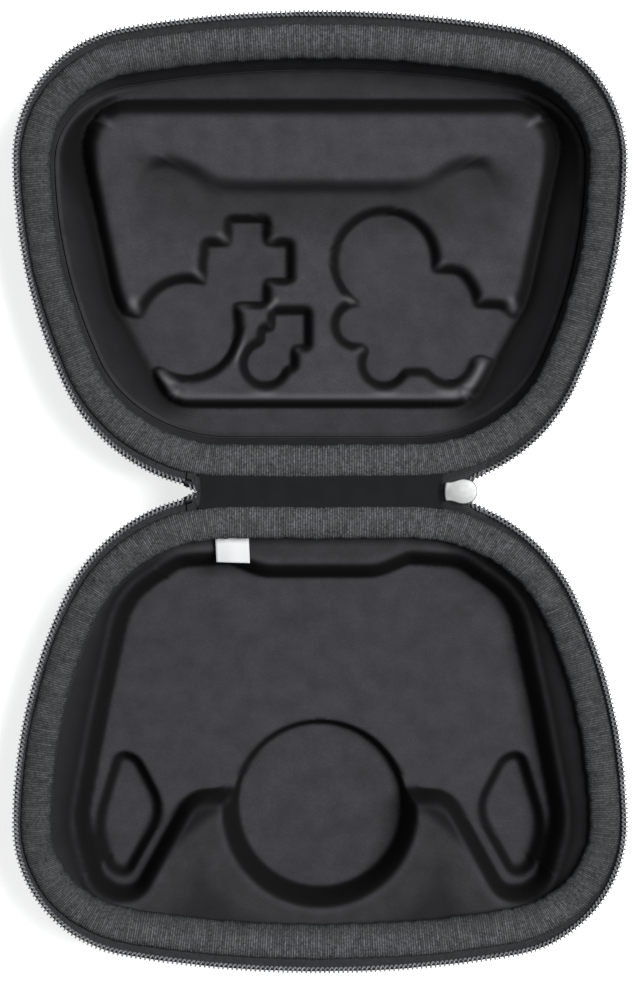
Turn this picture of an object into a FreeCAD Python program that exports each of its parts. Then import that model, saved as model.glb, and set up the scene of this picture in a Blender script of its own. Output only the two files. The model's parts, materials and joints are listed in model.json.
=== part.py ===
import FreeCAD, Part
import math
import os

# Hard-shell carrying case for a game pad, lying open and flat on its two halves.
# The base half lies at -Y and the lid half at +Y, with the hinge along X between them.
# Z is 0 on the table, and the two rims meet at RIM_Z when the lid is closed over the base.

Vector = FreeCAD.Vector

# Plan outline of one half, a chain of tangent arcs from the hinge side to the front
HINGE_FLAT = 27.8
REAR_RADIUS = 55.5
REAR_TURN = 65.5
SIDE_RADIUS = 168.0
SIDE_TURN = 23.8
FRONT_CORNER_RADIUS = 40.8
FRONT_CORNER_TURN = 80.9

# Shell of one half
RIM_Z = 40.0
SHELL_TOP_DROP = 4.35
SHELL_INSET = 5.0
SHELL_WALL = 4.2
WALL_DRAFT = 8.0
BOTTOM_EDGE_RADIUS = 15.0
BOTTOM_EDGE_FACETS = 3
LEDGE_Z = 7.5
INNER_CORNER = 11.5

# Binding tape rolled over the rim
BINDING_OUTER_INSET = 4.0
BINDING_INNER_INSET = 12.2
BINDING_TOP_DROP = 0.2
BINDING_SHOULDER_DROP = 2.6
BINDING_LEG_LENGTH = 3.4
BINDING_LEG_GAP = 0.45

# Zipper tape and teeth
TAPE_THICKNESS = 0.6
TAPE_EDGE_INSET = 0.45
TAPE_TOP_DROP = 0.95
TAPE_SEAM_INSET = 8.6
TOOTH_PITCH = 4.0
TOOTH_LENGTH = 1.8
TOOTH_DEPTH = 1.5
TOOTH_RISE = 0.8
CHAIN_RIGHT_GAP = 1.5
CHAIN_LEFT_GAP = 2.0
STOP_LENGTH = 2.4
STOP_HEIGHT = 0.8

# Hinge strips, two layers sewn to the bindings
STRIP_THICKNESS = 0.6
STRIP_DROP = 1.8
STRIP_HALF_LENGTH = 37.0
STRIP_LID_GAP = 0.3

# Liner tray in the base
LINER_GAP = 0.15
DECK_DROP = 10.0
NEST_DEPTH = 24.0
GRIP_DEPTH = 30.5
WELL_DEPTH = 31.0
WELL_RADIUS = 30.0
WELL_REACH = 97.0

# Liner pad in the lid
CHANNEL_DROP = 24.0
BLOCK_HEIGHT = 7.8
CROWN_HEIGHT = 11.6
RECESS_HEIGHT = 1.6

# Woven label folded into the rear seam of the base
LABEL_X = -27.0
LABEL_WIDTH = 10.2
LABEL_LENGTH = 8.6
LABEL_THICKNESS = 0.7
LABEL_GAP = 0.25
LABEL_SLOPE = 12.0

# Slider and pull tab
SLIDER_GAP = 0.5
SLIDER_LENGTH = 10.0
SLIDER_TAIL_HALF = 2.9
SLIDER_SHOULDER_HALF = 4.0
SLIDER_NOSE_HALF = 1.2
SLIDER_MOUTH = 2.2
PLATE_THICKNESS = 1.0
FLANGE_HEIGHT = 0.6
FLANGE_WIDTH = 0.6
CROWN_WIDTH = 1.8
CROWN_OPENING = 1.3
CROWN_BAR = 0.8
ZIPPER_END_LENGTH = 4.4
ZIPPER_END_HALF = 2.0
CHAIN_HALF = 1.2
CHAIN_THICKNESS = 1.4
TAB_LENGTH = 27.0
TAB_WIDTH = 5.8
TAB_THICKNESS = 1.0
TAB_WINDOW = 3.4
TAB_CLEARANCE = 0.15
TAB_HOLE_RADIUS = 1.2

# Places beside the hinge strips, from the strips' end outwards
SLIDER_TAIL_X = STRIP_HALF_LENGTH + SLIDER_GAP
SLIDER_NOSE_X = SLIDER_TAIL_X + SLIDER_LENGTH
CHAIN_RIGHT_X = SLIDER_NOSE_X + CHAIN_RIGHT_GAP
CHAIN_LEFT_X = STRIP_HALF_LENGTH + CHAIN_LEFT_GAP

BASE = -1
LID = 1


# The plan outline

def chain_arcs():
    """Return (start point, start heading, turn, radius) of each arc, hinge side to front."""
    turns = [REAR_TURN, SIDE_TURN, FRONT_CORNER_TURN]
    radii = [REAR_RADIUS, SIDE_RADIUS, FRONT_CORNER_RADIUS]
    x = HINGE_FLAT
    y = 0.0
    heading = 0.0
    arcs = []
    for turn_degrees, radius in zip(turns, radii):
        turn = math.radians(turn_degrees)
        arcs.append((x, y, heading, turn, radius))
        x += radius * (math.sin(heading + turn) - math.sin(heading))
        y += radius * (math.cos(heading) - math.cos(heading + turn))
        heading += turn
    last_turn = math.pi - heading
    arcs.append((x, y, heading, last_turn, x / math.sin(last_turn)))
    return arcs


ARCS = chain_arcs()
HALF_CHAIN = HINGE_FLAT + sum(arc[3] * arc[4] for arc in ARCS)


def on_arc(arc, angle, inset):
    """Point of an arc after turning by angle, moved inwards by inset."""
    x, y, heading, _, radius = arc
    now = heading + angle
    px = x + radius * (math.sin(now) - math.sin(heading))
    py = y + radius * (math.cos(heading) - math.cos(now))
    return px - inset * math.sin(now), py + inset * math.cos(now)


def chain_point(distance, inset):
    """Plan point and heading at a distance along the chain from the middle of the hinge side."""
    if distance > HALF_CHAIN:
        x, y, heading = chain_point(2.0 * HALF_CHAIN - distance, inset)
        return -x, y, 2.0 * math.pi - heading
    if distance <= HINGE_FLAT:
        return distance, inset, 0.0
    left = distance - HINGE_FLAT
    for arc in ARCS:
        length = arc[3] * arc[4]
        if left <= length + 1e-9:
            angle = left / arc[4]
            x, y = on_arc(arc, angle, inset)
            return x, y, arc[2] + angle
        left -= length
    x, y = on_arc(ARCS[-1], ARCS[-1][3], inset)
    return x, y, math.pi


def chain_distance(x):
    """Distance along the chain at which it reaches x on its first arc."""
    return HINGE_FLAT + REAR_RADIUS * math.asin((x - HINGE_FLAT) / REAR_RADIUS)


def arc_edge(a, b, c):
    return Part.Arc(a, b, c).toShape()


def outline(inset, z, side):
    """Closed plan outline of one half at a height, moved inwards by inset."""
    def at(point, mirror=1.0):
        return Vector(mirror * point[0], side * point[1], z)

    hinge_right = at((HINGE_FLAT, inset))
    hinge_left = at((-HINGE_FLAT, inset))
    edges = [Part.LineSegment(hinge_left, hinge_right).toShape()]
    for arc in ARCS[:-1]:
        turn = arc[3]
        ends = [at(on_arc(arc, share * turn, inset)) for share in (0.0, 0.5, 1.0)]
        edges.append(arc_edge(*ends))
    front = ARCS[-1]
    front_right = at(on_arc(front, 0.0, inset))
    front_middle = at(on_arc(front, front[3], inset))
    front_left = at(on_arc(front, 0.0, inset), -1.0)
    edges.append(arc_edge(front_right, front_middle, front_left))
    for arc in reversed(ARCS[:-1]):
        turn = arc[3]
        ends = [at(on_arc(arc, share * turn, inset), -1.0) for share in (1.0, 0.5, 0.0)]
        edges.append(arc_edge(*ends))
    return Part.Wire(edges)


def ring(profile, side, right_start=None, left_start=None):
    """Ring round one half with an even section, given as a face in the YZ plane.

    The section is drawn at the hinge side, with Y as the inset, and turned about the centre of
    each arc of the outline. A closed ring also runs along the straight hinge side. An open one
    starts and ends at distances on the first arc.
    """
    pieces = []
    if right_start is None:
        straight = profile.copy()
        straight.translate(Vector(-HINGE_FLAT, 0.0, 0.0))
        pieces.append(straight.extrude(Vector(2.0 * HINGE_FLAT, 0.0, 0.0)))
    for mirror, start in ((False, right_start), (True, left_start)):
        for index, (x, y, heading, turn, radius) in enumerate(ARCS):
            centre = Vector(x - radius * math.sin(heading), y + radius * math.cos(heading), 0.0)
            skipped = 0.0
            if index == 0 and start is not None:
                skipped = (start - HINGE_FLAT) / radius
            section = profile.copy()
            section.translate(Vector(x, y, 0.0))
            section.rotate(Vector(x, y, 0.0), Vector(0, 0, 1), math.degrees(heading))
            section.rotate(centre, Vector(0, 0, 1), math.degrees(skipped))
            piece = section.revolve(centre, Vector(0, 0, 1), math.degrees(turn - skipped))
            if mirror:
                piece = piece.mirror(Vector(0, 0, 0), Vector(1, 0, 0))
            pieces.append(piece)
    whole = pieces[0].multiFuse(pieces[1:]).removeSplitter()
    return whole if side == LID else whole.mirror(Vector(0, 0, 0), Vector(0, 1, 0))


def section_face(corners):
    """Face in the YZ plane from corners (inset, z)."""
    points = [Vector(0.0, inset, z) for inset, z in corners]
    return Part.Face(Part.makePolygon(points + [points[0]]))


def core(inset, low, high, side):
    """Upright solid on the plan outline at an inset."""
    return Part.Face(outline(inset, low, side)).extrude(Vector(0.0, 0.0, high - low))


# Rounded polygons for the moulded forms

def rounded(corners, z, side):
    """Closed wire through corners (x, y, radius), each rounded by a tangent arc."""
    count = len(corners)
    legs = []
    for index in range(count):
        x0, y0, _ = corners[index - 1]
        x1, y1, radius = corners[index]
        x2, y2, _ = corners[(index + 1) % count]
        back = Vector(x0 - x1, y0 - y1, 0.0).normalize()
        ahead = Vector(x2 - x1, y2 - y1, 0.0).normalize()
        half = back.getAngle(ahead) / 2.0
        reach = radius / math.tan(half)
        middle = (back + ahead).normalize() * (radius / math.sin(half) - radius)
        corner = Vector(x1, y1, 0.0)
        legs.append((corner + back * reach, corner + middle, corner + ahead * reach))

    def place(point):
        return Vector(point.x, side * point.y, z)

    edges = []
    for index in range(count):
        begin, middle, end = [place(point) for point in legs[index]]
        edges.append(arc_edge(begin, middle, end))
        following = place(legs[(index + 1) % count][0])
        if end.distanceToPoint(following) > 1e-6:
            edges.append(Part.LineSegment(end, following).toShape())
    return Part.Wire(edges)


def mirrored(half):
    """Corners of a form that is the same left and right, from its right half."""
    left = [(-x, y, radius) for x, y, radius in reversed(half)]
    return half + left


def prism(corners, low, high, side):
    """Upright solid on a rounded polygon."""
    face = Part.Face(rounded(corners, low, side))
    return face.extrude(Vector(0.0, 0.0, high - low))


def post(x, y, radius, low, high, side):
    """Upright round solid."""
    return Part.makeCylinder(radius, high - low, Vector(x, side * y, low))


def block(x_low, x_high, y_low, y_high, z_low, z_high, side=1):
    """Box between limits, with y measured from the hinge line towards the side."""
    y_start = min(side * y_low, side * y_high)
    corner = Vector(x_low, y_start, z_low)
    return Part.makeBox(x_high - x_low, abs(y_high - y_low), z_high - z_low, corner)


# Shell of one half

SHELL_TOP_Z = RIM_Z - SHELL_TOP_DROP
SLOPE = math.tan(math.radians(WALL_DRAFT))


def outer_inset(z):
    """Inset of the shell's outer face at a height."""
    return SHELL_INSET + (SHELL_TOP_Z - z) * SLOPE


def inner_inset(z):
    """Inset of the shell's inner face at a height."""
    return outer_inset(z) + SHELL_WALL


def bottom_edge():
    """Corners (inset, z) of the rounded bottom edge, a quarter turn less the draft, from the wall."""
    draft = math.radians(WALL_DRAFT)
    sweep = math.pi / 2.0 - draft
    reach = BOTTOM_EDGE_RADIUS * math.tan(sweep / 2.0)
    centre = outer_inset(0.0) + reach
    corners = []
    for step in range(BOTTOM_EDGE_FACETS + 1):
        angle = draft + sweep * step / BOTTOM_EDGE_FACETS
        corners.append((centre - BOTTOM_EDGE_RADIUS * math.cos(angle),
                        BOTTOM_EDGE_RADIUS * (1.0 - math.sin(angle))))
    return corners


def make_shell(side):
    """Drafted bowl with a rounded bottom edge and a flat bottom, thicker in the hidden corner."""
    floor_inset = inner_inset(LEDGE_Z) + INNER_CORNER
    corners = [
        (floor_inset, 0.0),
        (floor_inset, LEDGE_Z),
        (inner_inset(LEDGE_Z), LEDGE_Z),
        (inner_inset(SHELL_TOP_Z), SHELL_TOP_Z),
        (outer_inset(SHELL_TOP_Z), SHELL_TOP_Z),
    ]
    wall = ring(section_face(corners + bottom_edge()), side)
    return wall.fuse(core(floor_inset, 0.0, SHELL_WALL, side)).removeSplitter()


# Binding, zipper tape, teeth and stops

TAPE_SEAM_TOP = SHELL_TOP_Z + TAPE_THICKNESS
TAPE_TOP_Z = RIM_Z - TAPE_TOP_DROP


def make_binding(side):
    """Roll of tape over the sewn edge, with a leg down the inside of the shell."""
    top = RIM_Z - BINDING_TOP_DROP
    shoulder = top - BINDING_SHOULDER_DROP
    quarter = (BINDING_INNER_INSET - BINDING_OUTER_INSET) / 4.0
    leg_face = inner_inset(SHELL_TOP_Z - BINDING_LEG_LENGTH) + BINDING_LEG_GAP
    leg_end = SHELL_TOP_Z - BINDING_LEG_LENGTH
    return ring(section_face([
        (BINDING_OUTER_INSET, TAPE_SEAM_TOP),
        (BINDING_OUTER_INSET, shoulder),
        (BINDING_OUTER_INSET + quarter, top),
        (BINDING_INNER_INSET - quarter, top),
        (BINDING_INNER_INSET, shoulder),
        (BINDING_INNER_INSET, leg_end),
        (leg_face, leg_end),
        (leg_face, TAPE_SEAM_TOP),
    ]), side)


def make_tape(side):
    """Tape from the seam under the binding, out and up to the teeth."""
    bend = BINDING_OUTER_INSET - BINDING_LEG_GAP
    return ring(section_face([
        (TAPE_EDGE_INSET, TAPE_TOP_Z),
        (bend, SHELL_TOP_Z),
        (TAPE_SEAM_INSET, SHELL_TOP_Z),
        (TAPE_SEAM_INSET, TAPE_SEAM_TOP),
        (bend + TAPE_THICKNESS / 2.0, TAPE_SEAM_TOP),
        (TAPE_EDGE_INSET + TAPE_THICKNESS * 1.4, TAPE_TOP_Z),
    ]), side, chain_distance(CHAIN_RIGHT_X), chain_distance(CHAIN_LEFT_X))


def placed_box(distance, length, depth, low, high, side):
    """Box on the chain line, turned to the chain's heading."""
    x, y, heading = chain_point(distance, 0.0)
    box = Part.makeBox(length, depth, high - low, Vector(-length / 2.0, 0.0, 0.0))
    if side < 0:
        box = box.mirror(Vector(0, 0, 0), Vector(0, 1, 0))
    box.rotate(Vector(0, 0, 0), Vector(0, 0, 1), side * math.degrees(heading))
    box.translate(Vector(x, side * y, low))
    return box


def tooth_distances(side):
    """Places of the teeth, with the lid's half a pitch on so that the rows mesh when closed."""
    first = chain_distance(CHAIN_RIGHT_X) + TOOTH_PITCH
    last = 2.0 * HALF_CHAIN - chain_distance(CHAIN_LEFT_X) - STOP_LENGTH - TOOTH_PITCH
    if side == LID:
        first += TOOTH_PITCH / 2.0
    count = int((last - first) / TOOTH_PITCH)
    return [first + index * TOOTH_PITCH for index in range(count)]


def make_teeth(side):
    """Row of teeth that stand on the tape's edge and reach past the rim plane."""
    top = RIM_Z + TOOTH_RISE
    teeth = []
    for distance in tooth_distances(side):
        teeth.append(placed_box(distance, TOOTH_LENGTH, TOOTH_DEPTH, TAPE_TOP_Z, top, side))
    return Part.makeCompound(teeth)


def make_top_stop(side):
    """Small stop at the left end of the tape, behind the last tooth."""
    distance = 2.0 * HALF_CHAIN - chain_distance(CHAIN_LEFT_X) - STOP_LENGTH / 2.0
    top = TAPE_TOP_Z + STOP_HEIGHT
    return placed_box(distance, STOP_LENGTH, TOOTH_DEPTH, TAPE_TOP_Z, top, side)


# Hinge strips

def make_hinge_strip(layer):
    """Flat band between the two bindings; layer 0 is the inner one, 1 the outer one."""
    high = RIM_Z - STRIP_DROP - layer * STRIP_THICKNESS
    base_edge = -BINDING_OUTER_INSET
    lid_edge = BINDING_OUTER_INSET - STRIP_LID_GAP
    return block(-STRIP_HALF_LENGTH, STRIP_HALF_LENGTH, base_edge, lid_edge,
                 high - STRIP_THICKNESS, high)


# Base liner: a tray with a nest for the pad, two grip pockets and a cable well

NEST_HALF = [
    (17.0, 21.8, 14.0),
    (27.0, 17.6, 8.0),
    (44.0, 18.6, 14.0),
    (62.0, 31.0, 24.0),
    (69.6, 66.0, 60.0),
    (76.2, 101.0, 28.0),
    (69.4, 125.8, 12.0),
    (54.0, 125.8, 9.0),
    (37.5, 96.0, 6.0),
]
GRIP_HALF = [
    (65.0, 76.0, 7.0),
    (73.2, 103.0, 18.0),
    (67.4, 121.5, 9.0),
    (56.6, 121.5, 7.0),
    (43.5, 98.0, 8.0),
    (54.0, 78.0, 7.0),
]


def liner_body(top_z, side):
    """Block that fills the shell up to a height, seated on its floor and its ledge."""
    floor_inset = inner_inset(LEDGE_Z) + INNER_CORNER + LINER_GAP
    ledge = LEDGE_Z + LINER_GAP
    sides = ring(section_face([
        (floor_inset, ledge),
        (inner_inset(ledge) + LINER_GAP, ledge),
        (inner_inset(top_z) + LINER_GAP, top_z),
        (floor_inset, top_z),
    ]), side)
    return sides.fuse(core(floor_inset, SHELL_WALL + LINER_GAP, top_z, side)).removeSplitter()


def make_base_liner():
    """Tray with its moulded hollows."""
    deck = RIM_Z - DECK_DROP
    above = deck + 1.0
    tray = liner_body(deck, BASE)
    nest = prism(mirrored(NEST_HALF), RIM_Z - NEST_DEPTH, above, BASE)
    well = post(0.0, WELL_REACH, WELL_RADIUS, RIM_Z - WELL_DEPTH, above, BASE)
    hollow = nest.fuse(well)
    for mirror in (1.0, -1.0):
        corners = [(mirror * x, y, radius) for x, y, radius in GRIP_HALF]
        hollow = hollow.fuse(prism(corners, RIM_Z - GRIP_DEPTH, above, BASE))
    return tray.cut(hollow)


# Lid liner: a pad with a raised block and recesses for sticks and buttons

BLOCK_HALF = [
    (77.2, 121.0, 14.5),
    (64.0, 59.0, 30.0),
    (46.5, 26.6, 7.0),
]
CROWN_HALF = [
    (60.0, 117.5, 9.0),
    (66.0, 107.0, 5.0),
    (50.0, 101.0, 10.0),
    (38.0, 91.6, 8.0),
]
LEFT_STICK = (-40.5, 50.0, 14.1)
RIGHT_STICK = (20.0, 70.7, 14.3)
LEFT_ROUNDS = [LEFT_STICK, (-16.7, 39.3, 5.5)]
RIGHT_ROUNDS = [RIGHT_STICK, (11.4, 51.2, 5.5), (41.4, 58.5, 6.8), (54.0, 47.9, 6.8),
                (39.6, 40.5, 6.2), (19.7, 39.3, 5.5)]
CROSS_CENTRE = (-22.2, 70.5)
CROSS_ARM = 4.7
CROSS_REACH = 12.0
CAPTURE = (-13.6, -4.8, 45.3, 54.3)
NECK = (-16.7, -9.0, 39.0, 49.0)
BUTTON_FIELD = [
    (11.0, 49.0, 3.0),
    (20.0, 38.0, 3.0),
    (40.0, 38.0, 3.0),
    (54.0, 45.0, 3.0),
    (43.0, 60.0, 3.0),
    (22.0, 66.0, 3.0),
]
LEFT_GATE = [
    (-42.0, 50.0, 1.0),
    (-60.5, 54.0, 1.0),
    (-64.0, 44.0, 1.0),
    (-54.5, 33.5, 1.0),
]


def lid_recesses(low, high):
    """Solids that the sticks, the cross and the buttons take out of the block."""
    cx, cy = CROSS_CENTRE
    solids = [post(x, y, radius, low, high, LID) for x, y, radius in LEFT_ROUNDS + RIGHT_ROUNDS]
    solids.append(block(cx - CROSS_REACH, cx + CROSS_REACH, cy - CROSS_ARM, cy + CROSS_ARM, low, high))
    solids.append(block(cx - CROSS_ARM, cx + CROSS_ARM, cy - CROSS_REACH, cy + CROSS_REACH, low, high))
    solids.append(block(*CAPTURE, low, high))
    solids.append(block(*NECK, low, high))
    solids.append(block(cx - CROSS_REACH, cx - CROSS_ARM, LEFT_STICK[1], cy, low, high))
    solids.append(prism(BUTTON_FIELD, low, high, LID))
    solids.append(prism(LEFT_GATE, low, high, LID))
    return solids[0].multiFuse(solids[1:])


def make_lid_liner():
    """Pad with its raised block, the crown on it and the recesses."""
    channel = RIM_Z - CHANNEL_DROP
    sink = channel - 1.0
    pad = liner_body(channel, LID)
    raised = prism(mirrored(BLOCK_HALF), sink, channel + BLOCK_HEIGHT, LID)
    crown = prism(mirrored(CROWN_HALF), sink, channel + CROWN_HEIGHT, LID)
    recess = lid_recesses(channel + RECESS_HEIGHT, channel + CROWN_HEIGHT + 1.0)
    raised = raised.fuse(crown).cut(recess)
    return pad.fuse(raised).removeSplitter()


# Woven label

def make_label():
    """Folded label that leaves the rear seam of the base and lies over the deck."""
    start_y = BINDING_INNER_INSET + LABEL_GAP
    low = RIM_Z - DECK_DROP + LABEL_THICKNESS + 1.6
    label = block(LABEL_X - LABEL_WIDTH / 2.0, LABEL_X + LABEL_WIDTH / 2.0,
                  start_y, start_y + LABEL_LENGTH, low, low + LABEL_THICKNESS, BASE)
    pivot = Vector(LABEL_X, -start_y, low)
    label.rotate(pivot, Vector(1, 0, 0), LABEL_SLOPE)
    return label


# Slider, joined zipper end and pull tab

PLATE_BASE = SLIDER_MOUTH / 2.0
CROWN_CENTRE_X = SLIDER_TAIL_X + 0.46 * SLIDER_LENGTH
PIVOT_Z = RIM_Z - PLATE_BASE - PLATE_THICKNESS - CROWN_OPENING / 2.0


def plate(low):
    """Slider plate with a narrow tail, wide shoulders and a blunt nose."""
    neck = SLIDER_TAIL_X + 0.36 * SLIDER_LENGTH
    shoulder = SLIDER_TAIL_X + 0.62 * SLIDER_LENGTH
    half = [
        (SLIDER_TAIL_X, SLIDER_TAIL_HALF, 0.8),
        (neck, SLIDER_TAIL_HALF, 1.5),
        (shoulder, SLIDER_SHOULDER_HALF, 2.0),
        (SLIDER_NOSE_X, SLIDER_NOSE_HALF, 1.0),
    ]
    other = [(x, -y, radius) for x, y, radius in reversed(half)]
    return prism(half + other, low, low + PLATE_THICKNESS, 1)


def make_slider():
    """Two plates joined by a wedge, with guiding flanges at the tail and a crown outside."""
    upper_low = RIM_Z + PLATE_BASE
    lower_high = RIM_Z - PLATE_BASE
    lower_low = lower_high - PLATE_THICKNESS
    solids = [plate(upper_low), plate(lower_low)]
    wedge = [
        (SLIDER_NOSE_X - 0.42 * SLIDER_LENGTH, 0.4, 0.2),
        (SLIDER_NOSE_X - 0.22 * SLIDER_LENGTH, 1.3, 0.5),
        (SLIDER_NOSE_X - 0.06 * SLIDER_LENGTH, 0.7, 0.3),
    ]
    wedge_all = wedge + [(x, -y, radius) for x, y, radius in reversed(wedge)]
    solids.append(prism(wedge_all, lower_high, upper_low, 1))
    flange_end = SLIDER_TAIL_X + 0.40 * SLIDER_LENGTH
    for sign in (1, -1):
        inner = SLIDER_TAIL_HALF - FLANGE_WIDTH
        for low in (lower_high, upper_low - FLANGE_HEIGHT):
            solids.append(block(SLIDER_TAIL_X + 0.8, flange_end, inner, SLIDER_TAIL_HALF,
                                low, low + FLANGE_HEIGHT, sign))
    half_width = CROWN_WIDTH / 2.0
    crown_low = lower_low - CROWN_OPENING - CROWN_BAR
    reach = 0.29 * SLIDER_LENGTH
    solids.append(block(CROWN_CENTRE_X - reach, CROWN_CENTRE_X + reach,
                        -half_width, half_width, crown_low, crown_low + CROWN_BAR))
    for start in (CROWN_CENTRE_X - reach, CROWN_CENTRE_X + reach - CROWN_BAR):
        solids.append(block(start, start + CROWN_BAR, -half_width, half_width,
                            crown_low, lower_low))
    return solids[0].multiFuse(solids[1:]).removeSplitter()


def make_zipper_end():
    """Joined end of the two tapes with the closed chain on it, held in the slider's tail."""
    tape = block(SLIDER_TAIL_X, SLIDER_TAIL_X + ZIPPER_END_LENGTH, -ZIPPER_END_HALF, ZIPPER_END_HALF,
                 RIM_Z - TAPE_THICKNESS / 2.0, RIM_Z + TAPE_THICKNESS / 2.0)
    chain = block(SLIDER_TAIL_X, SLIDER_TAIL_X + ZIPPER_END_LENGTH, -CHAIN_HALF, CHAIN_HALF,
                  RIM_Z - CHAIN_THICKNESS / 2.0, RIM_Z + CHAIN_THICKNESS / 2.0)
    return tape.fuse(chain)


def make_pull_tab():
    """Flat tab that hangs from a round bar in the crown's opening."""
    bar_radius = CROWN_OPENING / 2.0 - TAB_CLEARANCE
    half = TAB_WIDTH / 2.0
    side_gap = CROWN_WIDTH / 2.0 + TAB_CLEARANCE
    bar = Part.makeCylinder(bar_radius, TAB_WIDTH, Vector(CROWN_CENTRE_X, -half, PIVOT_Z),
                            Vector(0, 1, 0))
    low_x = CROWN_CENTRE_X - TAB_THICKNESS / 2.0
    high_x = CROWN_CENTRE_X + TAB_THICKNESS / 2.0
    window_low = PIVOT_Z - TAB_WINDOW
    solids = [bar]
    for sign in (1, -1):
        solids.append(block(low_x, high_x, side_gap, half, window_low, PIVOT_Z, sign))
    blade = block(low_x, high_x, -half, half, PIVOT_Z - TAB_LENGTH + half, window_low)
    tip = Part.makeCylinder(half, TAB_THICKNESS, Vector(low_x, 0.0, PIVOT_Z - TAB_LENGTH + half),
                            Vector(1, 0, 0))
    solids += [blade, tip]
    tab = solids[0].multiFuse(solids[1:])
    hole = Part.makeCylinder(TAB_HOLE_RADIUS, TAB_THICKNESS * 3.0,
                             Vector(low_x - TAB_THICKNESS, 0.0, PIVOT_Z - TAB_LENGTH + half),
                             Vector(1, 0, 0))
    return tab.cut(hole).removeSplitter()


def export(name, shape):
    shape.exportStep(os.path.join("parts", name + ".step"))


os.makedirs("parts", exist_ok=True)
for side, half_name in ((BASE, "base"), (LID, "lid")):
    export(half_name + "_shell", make_shell(side))
    export(half_name + "_binding", make_binding(side))
    export(half_name + "_zipper_tape", make_tape(side))
    export(half_name + "_zipper_teeth", make_teeth(side))
    export(half_name + "_top_stop", make_top_stop(side))
export("base_liner", make_base_liner())
export("lid_liner", make_lid_liner())
export("woven_label", make_label())
export("hinge_strip_inner", make_hinge_strip(0))
export("hinge_strip_outer", make_hinge_strip(1))
export("slider_body", make_slider())
export("zipper_end", make_zipper_end())
export("pull_tab", make_pull_tab())
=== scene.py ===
import json

import bpy
import bmesh
import numpy as np
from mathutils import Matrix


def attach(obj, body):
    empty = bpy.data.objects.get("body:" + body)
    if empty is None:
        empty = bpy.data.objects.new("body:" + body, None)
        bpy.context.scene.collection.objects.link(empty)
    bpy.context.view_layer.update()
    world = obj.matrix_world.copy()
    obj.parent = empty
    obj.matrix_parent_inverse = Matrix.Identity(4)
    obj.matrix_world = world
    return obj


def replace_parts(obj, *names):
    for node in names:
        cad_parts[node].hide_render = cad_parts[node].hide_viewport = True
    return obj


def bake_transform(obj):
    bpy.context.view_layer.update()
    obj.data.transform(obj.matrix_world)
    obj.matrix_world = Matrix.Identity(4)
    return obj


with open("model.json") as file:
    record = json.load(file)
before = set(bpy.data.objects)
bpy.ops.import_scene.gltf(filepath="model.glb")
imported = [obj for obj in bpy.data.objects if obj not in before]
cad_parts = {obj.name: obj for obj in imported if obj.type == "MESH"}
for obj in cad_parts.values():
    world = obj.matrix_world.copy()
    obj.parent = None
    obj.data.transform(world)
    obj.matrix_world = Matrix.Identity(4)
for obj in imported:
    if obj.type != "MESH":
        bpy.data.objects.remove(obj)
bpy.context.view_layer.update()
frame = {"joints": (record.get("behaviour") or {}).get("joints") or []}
MM = 0.001


# Camera
# The photograph looks straight down on the open case, from well above the middle of its hinge.
# The frame is 983 pixels high, and a pixel is about 0.3 mm on the plane of the two rims.

PHOTO_HEIGHT = 983
PIXEL = 0.302 * MM
CAMERA_RISE = 1.2
SENSOR = 36.0
HINGE = next(joint for joint in frame["joints"] if joint["name"] == "lid_hinge")
RIM = HINGE["pos_m"][2]


def new_object(name, data):
    """An object with this data, linked to the scene, at the origin."""
    made = bpy.data.objects.new(name, data)
    bpy.context.scene.collection.objects.link(made)
    return made


camera_data = bpy.data.cameras.new("camera")
camera_data.sensor_fit = "VERTICAL"
camera_data.sensor_height = SENSOR
camera_data.lens = SENSOR * CAMERA_RISE / (PHOTO_HEIGHT * PIXEL)
camera_data.clip_start = 0.01
camera = new_object("camera", camera_data)
camera.location = (0.0, 0.0, RIM + CAMERA_RISE)
bpy.context.scene.camera = camera
bpy.context.scene.view_settings.view_transform = "Standard"


# Light and floor
# A white light table under one strong softbox high up at the right and a little behind the lid,
# in a dim white room. The table's face lies just below the shells, which then don't share it.

FLOOR_SIZE = 8.0
FLOOR_HEIGHT = -0.1 * MM
SOFTBOX_SIZE = 0.9
SOFTBOX_PLACE = (0.82, 0.26, 2.1)
SOFTBOX_POWER = 66.0
ROOM_STRENGTH = 0.2
TABLE_GLOW = 0.75


def linear(hex_colour):
    """An sRGB hex colour as linear RGBA: c/12.92 below 0.04045, else ((c+0.055)/1.055)^2.4."""
    srgb = np.array([int(hex_colour[i:i + 2], 16) for i in (1, 3, 5)]) / 255.0
    low = srgb / 12.92
    high = ((srgb + 0.055) / 1.055) ** 2.4
    return tuple(np.where(srgb < 0.04045, low, high)) + (1.0,)


def add_node(material, kind, inputs=None, **settings):
    """Adds a node, with its settings and with each input as a value or as another's output."""
    node = material.node_tree.nodes.new(kind)
    for name, value in settings.items():
        setattr(node, name, value)
    for name, value in (inputs or {}).items():
        if isinstance(value, bpy.types.NodeSocket):
            material.node_tree.links.new(value, node.inputs[name])
        else:
            node.inputs[name].default_value = value
    return node


def new_material(name):
    """A node material, and the coordinates that place its patterns."""
    material = bpy.data.materials.new(name)
    material.use_nodes = True
    material.node_tree.nodes.clear()
    return material, add_node(material, "ShaderNodeTexCoord")


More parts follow.
